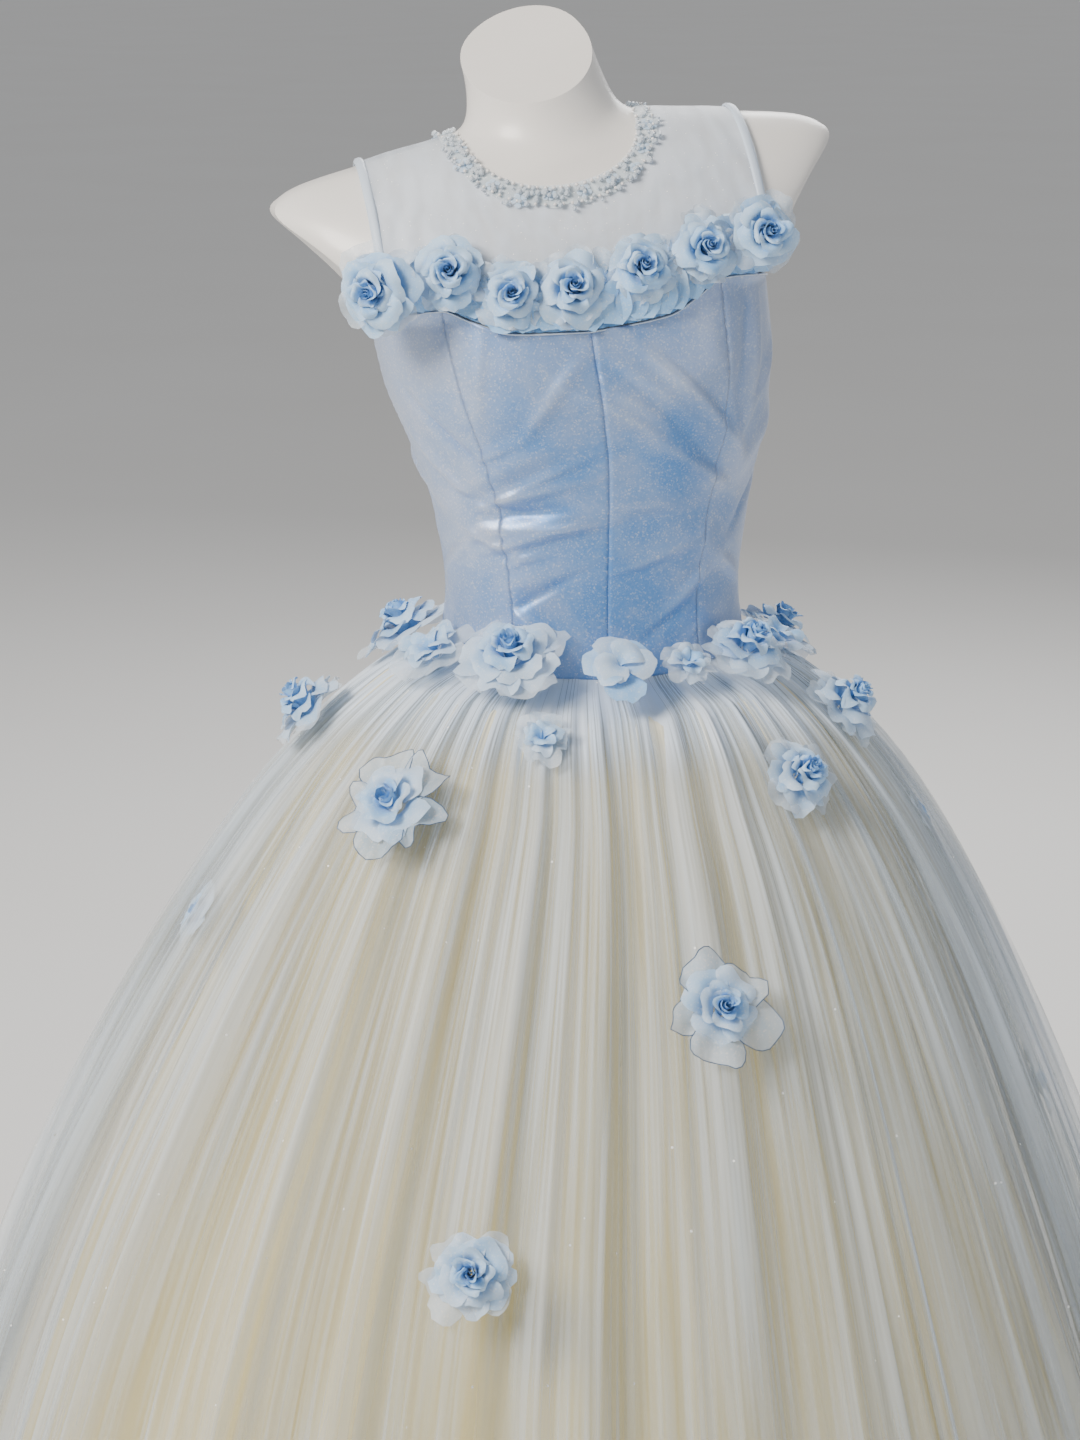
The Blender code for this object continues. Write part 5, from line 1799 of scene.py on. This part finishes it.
@dataclass(frozen=True)
class Flower:
    """One fabric flower: a rolled heart and rings of cupped petals."""

    name: str
    kind: FlowerKind
    radius: float
    rise: float
    spin: float
    seed: int
    grow: float
    rows: int = 10
    columns: int = 15
    heart_turns: float = 2.3
    fray: float = 0.014
    lift: float = 0.0
    wire: float = 0.00035

    def petal(self, ring: PetalRing, angle: float, draw: np.random.Generator) -> Array:
        """A grid of points over one petal, in the flower's own axes.

        Args:
            ring: The petal's ring.
            angle: The way that it points, in radians.
            draw: Random draws.

        Returns:
            Rows from the flower's middle to the petal's rim.
        """
        t = np.linspace(0.0, 1.0, self.rows)[:, None]
        s = np.linspace(-1.0, 1.0, self.columns)
        notch = ring.notch * draw.uniform(0.3, 1.0)
        notch = notch * np.exp(-(((s - draw.uniform(-0.4, 0.4)) / 0.22) ** 2))
        frayed = self.fray * draw.normal(size=self.columns) * (t > 0.99)
        along = t * (1 - 0.10 * s**2 - 0.32 * s**6 - notch * t**3) + frayed
        full = 0.62 + 0.38 * np.sin(math.pi * (0.06 + 0.56 * t))
        wide = math.radians(ring.width) * draw.uniform(0.88, 1.12) * full
        lean, lift = draw.uniform(0.88, 1.12), draw.uniform(0.86, 1.08)
        start = draw.uniform(0.0, 2 * math.pi, 3)
        reach = ring.base + (ring.reach * lean - ring.base) * (0.45 * along + 0.55 * along**2)
        wavy = ring.ruffle * along**2
        reach = reach + ring.wrap * s * (0.3 + along) + wavy * np.cos(4.5 * s + start[0])
        climb = np.sin(np.clip(along, 0.0, 1.0) * math.pi / 2)
        high = ring.low + (ring.high * lift - ring.low) * climb
        roll = np.maximum(along - 0.60, 0.0) ** 2 * (1 + 0.5 * np.cos(3.0 * s + start[2]))
        high = high - ring.curl * roll * 6.0 + 0.10 * s**2 * along * (ring.reach > 0.8)
        high = high + 1.5 * wavy * np.sin(5.5 * s + start[1])
        turn = angle + s * wide
        flat = reach * self.radius * self.grow
        return joined(flat * np.cos(turn), flat * np.sin(turn), high * self.rise)

    def heart(self, draft: MeshDraft) -> None:
        """Adds the rolled strip in the flower's middle.

        Args:
            draft: The flower's draft.
        """
        t = np.linspace(0.0, 1.0, 46)
        up = np.linspace(0.0, 1.0, 5)[:, None]
        turn = self.heart_turns * 2 * math.pi * t
        flat = self.radius * self.grow * (0.03 + 0.17 * t) * (0.75 + 0.40 * up - 0.15 * up**2)
        high = self.rise * (0.25 + (0.80 - 0.05 * t + 0.03 * np.sin(5 * turn)) * up)
        grid = joined(flat * np.cos(turn), flat * np.sin(turn), high)
        draft.add_grid(grid, slot=BLUE.value, shade=0.05 + 0.4 * up * np.ones_like(t))

    def draw_flower(self) -> MeshDraft:
        """The whole flower in its own axes, with its back on z = 0."""
        draft, draw = MeshDraft(), np.random.default_rng(self.seed)
        if self.kind not in (FlowerKind.SATIN_DISCS, FlowerKind.TUFT):
            self.heart(draft)
        for number, ring in enumerate(self.kind.value):
            start = math.radians(self.spin) + number * 0.9
            for k in range(ring.count):
                angle = start + 2 * math.pi * (k + draw.uniform(-0.10, 0.10)) / ring.count
                grid = self.petal(ring, angle, draw)
                low, high = np.array(ring.shade) + draw.uniform(-0.20, 0.20)
                shade = low + (high - low) * np.linspace(0.0, 1.0, self.rows)[:, None]
                draft.add_grid(grid, slot=ring.cloth.value, shade=shade + 0 * grid[..., 0])
                if ring.wired:
                    edge = np.concatenate([grid[1:, 0], grid[-1, 1:-1], grid[:0:-1, -1]])
                    draft.add_grid(tube_grid(edge, self.wire, 4), wraps=True, slot=WIRE_SLOT)
        return draft

    def build(self, solid: Piece, place: Array, normal: Array) -> None:
        """Builds the flower where its CAD node is.

        Args:
            solid: The CAD node.
            place: A point under the flower.
            normal: The way that it faces.
        """
        normal = np.asarray(normal) / np.linalg.norm(normal)
        side = np.cross((0.0, 0.0, 1.0), normal)
        side /= np.linalg.norm(side)
        axes = np.stack([side, np.cross(normal, side), normal])
        back = float((cad_points(solid) @ normal).min())
        centre = place + normal * (back + self.lift - place @ normal)
        draft = self.draw_flower()
        # Nothing reaches behind the flower's back
        lowest = (-np.inf, -np.inf, 0.0)
        draft.points = [centre + np.maximum(p, lowest) @ axes for p in draft.points]
        made = draft.to_object(self.name, [finish.material() for finish in PETAL_FINISHES])
        settle(made, [solid.name])


class NeckRose(NamedTuple):
    """One rose along the bodice's top edge."""

    x: float
    above_edge: float
    radius: float
    rise: float
    spin: float
    turn: float


class SkirtFlower(NamedTuple):
    """One flower on the waist or the skirt."""

    angle: float
    drop: float
    radius: float
    rise: float
    kind: FlowerKind
    spin: float


NECK_ROSES = (
    NeckRose(-0.132, 0.026, 0.0245, 0.026, 10.0, -12.0),
    NeckRose(-0.091, 0.028, 0.0200, 0.026, 40.0, 0.0),
    NeckRose(-0.051, 0.025, 0.0190, 0.026, 5.0, 0.0),
    NeckRose(-0.009, 0.027, 0.0215, 0.026, 60.0, 0.0),
    NeckRose(0.041, 0.033, 0.0205, 0.027, 25.0, 0.0),
    NeckRose(0.086, 0.027, 0.0205, 0.025, 75.0, 0.0),
    NeckRose(0.127, 0.029, 0.0205, 0.026, 15.0, -5.0),
)
WAIST_FLOWERS = (
    SkirtFlower(-104.0, 0.010, 0.0290, 0.027, FlowerKind.FULL_ROSE, 0.0),
    SkirtFlower(-64.0, 0.008, 0.0240, 0.020, FlowerKind.TUFT, 30.0),
    SkirtFlower(-29.0, 0.008, 0.0290, 0.027, FlowerKind.FULL_ROSE, 50.0),
    SkirtFlower(-16.0, 0.044, 0.0150, 0.014, FlowerKind.TUFT, 45.0),
    SkirtFlower(1.0, 0.012, 0.0240, 0.016, FlowerKind.SATIN_DISCS, 45.0),
    SkirtFlower(21.5, 0.009, 0.0150, 0.013, FlowerKind.TUFT, 20.0),
    SkirtFlower(46.0, 0.008, 0.0240, 0.026, FlowerKind.FULL_ROSE, 20.0),
    SkirtFlower(72.0, 0.009, 0.0220, 0.020, FlowerKind.TUFT, 10.0),
    SkirtFlower(98.0, 0.014, 0.0260, 0.024, FlowerKind.FULL_ROSE, 70.0),
)
SKIRT_FLOWERS = (
    SkirtFlower(-92.0, 0.064, 0.0320, 0.028, FlowerKind.FULL_ROSE, 15.0),
    SkirtFlower(-42.5, 0.092, 0.0420, 0.026, FlowerKind.WIRED, 40.0),
    SkirtFlower(10.5, 0.204, 0.0380, 0.026, FlowerKind.WIRED, 25.0),
    SkirtFlower(-16.5, 0.356, 0.0300, 0.026, FlowerKind.FULL_ROSE, 55.0),
    SkirtFlower(35.5, 0.078, 0.0280, 0.028, FlowerKind.FULL_ROSE, 30.0),
    SkirtFlower(63.5, 0.050, 0.0300, 0.028, FlowerKind.FULL_ROSE, 65.0),
)
VEILED_FLOWERS = (
    SkirtFlower(-86.0, 0.214, 0.0210, 0.011, FlowerKind.VEILED, 0.0),
    SkirtFlower(84.5, 0.150, 0.0180, 0.009, FlowerKind.VEILED, 10.0),
    SkirtFlower(82.5, 0.374, 0.0240, 0.012, FlowerKind.VEILED, 45.0),
)


@dataclass(frozen=True)
class Garland:
    """Every flower on the gown, and the ruffle and the loose petals behind the roses."""

    skirt: Skirt
    nodes: dict[str, Piece]
    band_half_width: float = 0.132
    band_height: float = 0.040
    band_gathers: int = 30
    band_knots: int = 34
    band_thick: float = 0.0004
    rose_grow: float = 1.14
    rose_seed: int = 60
    leaf_rows: tuple[tuple[PetalCloth, int, float, float], ...] = (
        (SHEER, 24, 0.022, 0.0075),
        (PALE, 20, 0.014, 0.0095),
        (BLUE, 24, 0.003, 0.0100),
    )
    leaf_lengths: tuple[float, float] = (0.024, 0.034)
    leaf_halves: tuple[float, float] = (0.010, 0.014)
    leaf_stray: float = 0.0016
    nudge: float = 0.004

    def build_ruffle(self) -> None:
        """Builds the gathered strip that stands behind the roses."""
        x = self.band_half_width * np.linspace(-1.0, 1.0, 361)
        up = np.linspace(0.0, 1.0, 18)[:, None]
        draw = np.random.default_rng(23)
        knots = np.linspace(-self.band_half_width, self.band_half_width, self.band_knots)
        ragged = np.interp(x, knots, draw.uniform(0.72, 1.08, self.band_knots))
        height = FIGURE.edge_at(x, True) + EDGE_CLEAR + self.band_height * up * ragged
        phase = x / self.band_half_width * math.pi * self.band_gathers
        gathers = np.sin(phase + 2.2 * np.sin(phase / 5.3) + 1.4 * up)
        gathers = gathers * (0.0010 + 0.0030 * up**1.4)
        curl = 0.0055 * up**2.2 * np.interp(x, knots, draw.uniform(0.2, 1.0, self.band_knots))
        ease = 0.0046 + gathers + curl + 0.0012
        draft = MeshDraft()
        outer, inner = (
            FIGURE.point(x, height, True, ease - less) for less in (0.0, self.band_thick)
        )
        shade = 0.15 + 0.75 * up**1.5 + 0.10 * np.sin(phase) + 0.0 * x
        draft.add_shell(outer, inner, shade=np.clip(shade, 0.0, 1.0))
        made = draft.to_object("rose_band_ruffle", [BAND_PETAL.material()])
        settle(made, ["rose_band"])

    def build_leaves(self) -> None:
        """Builds the loose petals that fill the band between the roses and stand behind them."""
        draw, draft = np.random.default_rng(29), MeshDraft()
        t = np.linspace(0.0, 1.0, 9)[:, None]
        s = np.linspace(-1.0, 1.0, 11)
        for cloth, count, low, lift in self.leaf_rows:
            places = np.linspace(-self.band_half_width, self.band_half_width, count)
            for x0 in places + draw.normal(0.0, self.leaf_stray, count):
                length, half = draw.uniform(*self.leaf_lengths), draw.uniform(*self.leaf_halves)
                tilt, twist = draw.normal(0.0, 0.30), draw.uniform(0.0, 2 * math.pi, 2)
                frayed = 0.02 * draw.normal(size=s.size) * (t > 0.99)
                along = t * (1 - 0.16 * s**2 - 0.22 * s**6) + frayed
                across = half * s * (0.35 + 0.65 * np.sin(math.pi * (0.08 + 0.62 * t)))
                x = x0 + across * math.cos(tilt) + length * along * math.sin(tilt)
                up = length * along * math.cos(tilt) - across * math.sin(tilt)
                height = float(FIGURE.edge_at(x0, True)) + low + up
                curl = draw.uniform(0.2, 1.0) * 0.009 * along**2 + 0.0022 * s**2 * (0.3 + along)
                ruffle = 0.0012 * along * np.sin(5 * s + twist[0])
                ruffle = ruffle + 0.0008 * np.sin(7 * along + twist[1])
                grid = FIGURE.point(x, height, True, lift + curl + ruffle)
                shade = draw.uniform(-0.15, 0.25) + 0.75 * t + 0.0 * s
                draft.add_grid(grid, slot=cloth.value, shade=np.clip(shade, 0.0, 1.0))
        finishes = [finish.material() for finish in PETAL_FINISHES[:WIRE_SLOT]]
        settle(draft.to_object("rose_band_petals", finishes))

    def build_neck_roses(self) -> None:
        """Builds the roses along the bodice's top edge."""
        for number, rose in enumerate(NECK_ROSES, 1):
            height = float(FIGURE.edge_at(rose.x, True)) + rose.above_edge

            def front(u: float, v: float) -> Array:
                """A point on the figure's front."""
                return FIGURE.point(np.array(u), np.array(v), True, np.array(0.0041))

            normal = normal_of(front, rose.x, height, self.nudge)
            faced = Matrix.Rotation(math.radians(rose.turn), 3, "Z") @ Vector(normal)
            sizes = rose.radius, rose.rise, rose.spin
            seed = self.rose_seed + number
            flower = Flower(f"rose_{number}", FlowerKind.ROSE, *sizes, seed, self.rose_grow)
            solid = self.nodes[f"rose_neck_{number}"]
            flower.build(solid, front(rose.x, height), np.array(faced))

    def build_row(
        self,
        prefix: str,
        flowers: Sequence[SkirtFlower],
        ply: Ply,
        seed: int,
        grow: float,
        lift: float = 0.0,
    ) -> None:
        """Builds a table of flowers.

        Args:
            prefix: The start of their CAD nodes' names.
            flowers: The table.
            ply: The layer of the skirt that they are sewn on.
            seed: Where their random draws start.
            grow: How much wider their petals reach than the solids'.
            lift: How far they are moved out from the solids' backs.
        """
        for number, row in enumerate(flowers, 1):
            inset = ply.ease - ply.inset * smoothstep(row.drop, 0.0, INSET_BELOW)

            def cloth(u: float, v: float, out: float = float(inset)) -> Array:
                """A point on the layer, by the angle and the drop."""
                return self.skirt.outline(np.array(u), np.array(v), np.array(out))

            here = cloth(row.angle, row.drop)
            ahead = cloth(row.angle + 1.0, row.drop)
            below = cloth(row.angle, row.drop + self.nudge)
            normal = np.cross(ahead - here, here - below)
            sizes = row.radius, row.rise, row.spin
            name = f"{prefix}_bloom_{number}"
            flower = Flower(name, row.kind, *sizes, seed + number, grow, lift=lift)
            flower.build(self.nodes[f"{prefix}_{number}"], here, normal)

    def build(self) -> None:
        """Builds the ruffle, the loose petals and all the flowers."""
        self.build_ruffle()
        self.build_leaves()
        self.build_neck_roses()
        under, top = self.skirt.plies[1], self.skirt.plies[3]
        self.build_row("flower_waist", WAIST_FLOWERS, top, seed=100, grow=1.18)
        self.build_row("flower_skirt", SKIRT_FLOWERS, top, seed=200, grow=0.92)
        self.build_row("flower_veiled", VEILED_FLOWERS, under, seed=300, grow=1.30, lift=0.015)


@dataclass(frozen=True)
class AreaLight:
    """One softbox of the studio."""

    name: str
    place: tuple[float, float, float]
    size: float
    power: float
    colour: str = "ffffff"


def aim_at(name: str, data: bpy.types.ID, place: Sequence[float], aim: Sequence[float]) -> Piece:
    """Adds a light or a camera to the scene, facing a point.

    Args:
        name: The object's name.
        data: The light or the camera.
        place: Where it stands.
        aim: The point that it faces.

    Returns:
        The object.
    """
    made = bpy.data.objects.new(name, data)
    made.location = place
    made.rotation_euler = (Vector(aim) - Vector(place)).to_track_quat("-Z", "Y").to_euler()
    bpy.context.scene.collection.objects.link(made)
    return made


@dataclass(frozen=True)
class Studio:
    """Pale floor, soft lights, and the camera at the photograph's angle."""

    camera_place: tuple[float, float, float] = (-0.287, -2.210, 1.556)
    camera_aim: tuple[float, float, float] = (-0.0165, 0.0, 0.933)
    lens_mm: float = 74.75
    sensor_mm: float = 36.0
    floor_half: float = 130.0
    middle: tuple[float, float, float] = (0.0, 0.0, 0.95)
    world: str = "e9ebee"
    horizon: str = "d9dada"
    clear_above: float = 0.35
    world_strength: float = 0.50
    lights: tuple[AreaLight, ...] = (
        AreaLight("key", (-2.5, -1.7, 3.2), 1.3, 195.0, "fff8ef"),
        AreaLight("fill", (2.9, -2.0, 1.8), 2.2, 14.0, "eef3ff"),
        AreaLight("back", (1.2, 3.0, 2.9), 2.0, 80.0),
    )
    floor_finish: Plain = Plain(
        "matt_painted_floor", roughness=0.85,
        colour="f2f1ef", deeper="edebe8", drift_mm=900.0, surface_mm=4.0,
    )

    def build(self) -> None:
        """Builds the floor, the lights and the camera."""
        ends = self.floor_half * np.array([-1.0, 1.0])
        draft = MeshDraft()
        draft.add_grid(joined(ends, ends[:, None], 0.0))
        floor = draft.to_object("studio_floor", [self.floor_finish.material()])
        world = bpy.data.worlds.new("studio_air")
        world.use_nodes = True
        air = world.node_tree.nodes["Background"]
        air.inputs["Strength"].default_value = self.world_strength
        # The air takes the far floor's tone low down, so that no horizon line shows
        way = add_node(world.node_tree, "ShaderNodeTexCoord")
        parts = add_node(
            world.node_tree, "ShaderNodeSeparateXYZ", {}, {"Vector": way.outputs["Generated"]}
        )
        stops = ((0.0, linear(self.horizon)), (self.clear_above, linear(self.world)))
        tone = add_ramp(world.node_tree, parts.outputs["Z"], *stops)
        world.node_tree.links.new(tone, air.inputs["Color"])
        bpy.context.scene.world = world
        for light in self.lights:
            self.hang(light)
        self.place_camera()

    def hang(self, light: AreaLight) -> None:
        """Hangs one softbox, facing the gown.

        Args:
            light: The softbox.
        """
        lamp = bpy.data.lights.new(light.name, "AREA")
        lamp.shape, lamp.size, lamp.energy = "SQUARE", light.size, light.power
        lamp.color = linear(light.colour)[:3]
        aim_at(light.name, lamp, light.place, self.middle)

    def place_camera(self) -> None:
        """Places the camera."""
        camera = bpy.data.cameras.new("camera")
        camera.lens, camera.sensor_width = self.lens_mm, self.sensor_mm
        camera.clip_start, camera.clip_end = 0.05, 120.0
        made = aim_at("camera", camera, self.camera_place, self.camera_aim)
        bpy.context.scene.camera = made


def main() -> None:
    """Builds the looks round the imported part, in order."""
    logging.basicConfig(level=logging.INFO, format="%(message)s")
    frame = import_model()
    DressForm().build(frame["nodes"])
    Bodice().build()
    Yoke().build()
    skirt = Skirt()
    skirt.build()
    Garland(skirt, frame["nodes"]).build()
    Studio().build()


if __name__ == "__main__":
    main()
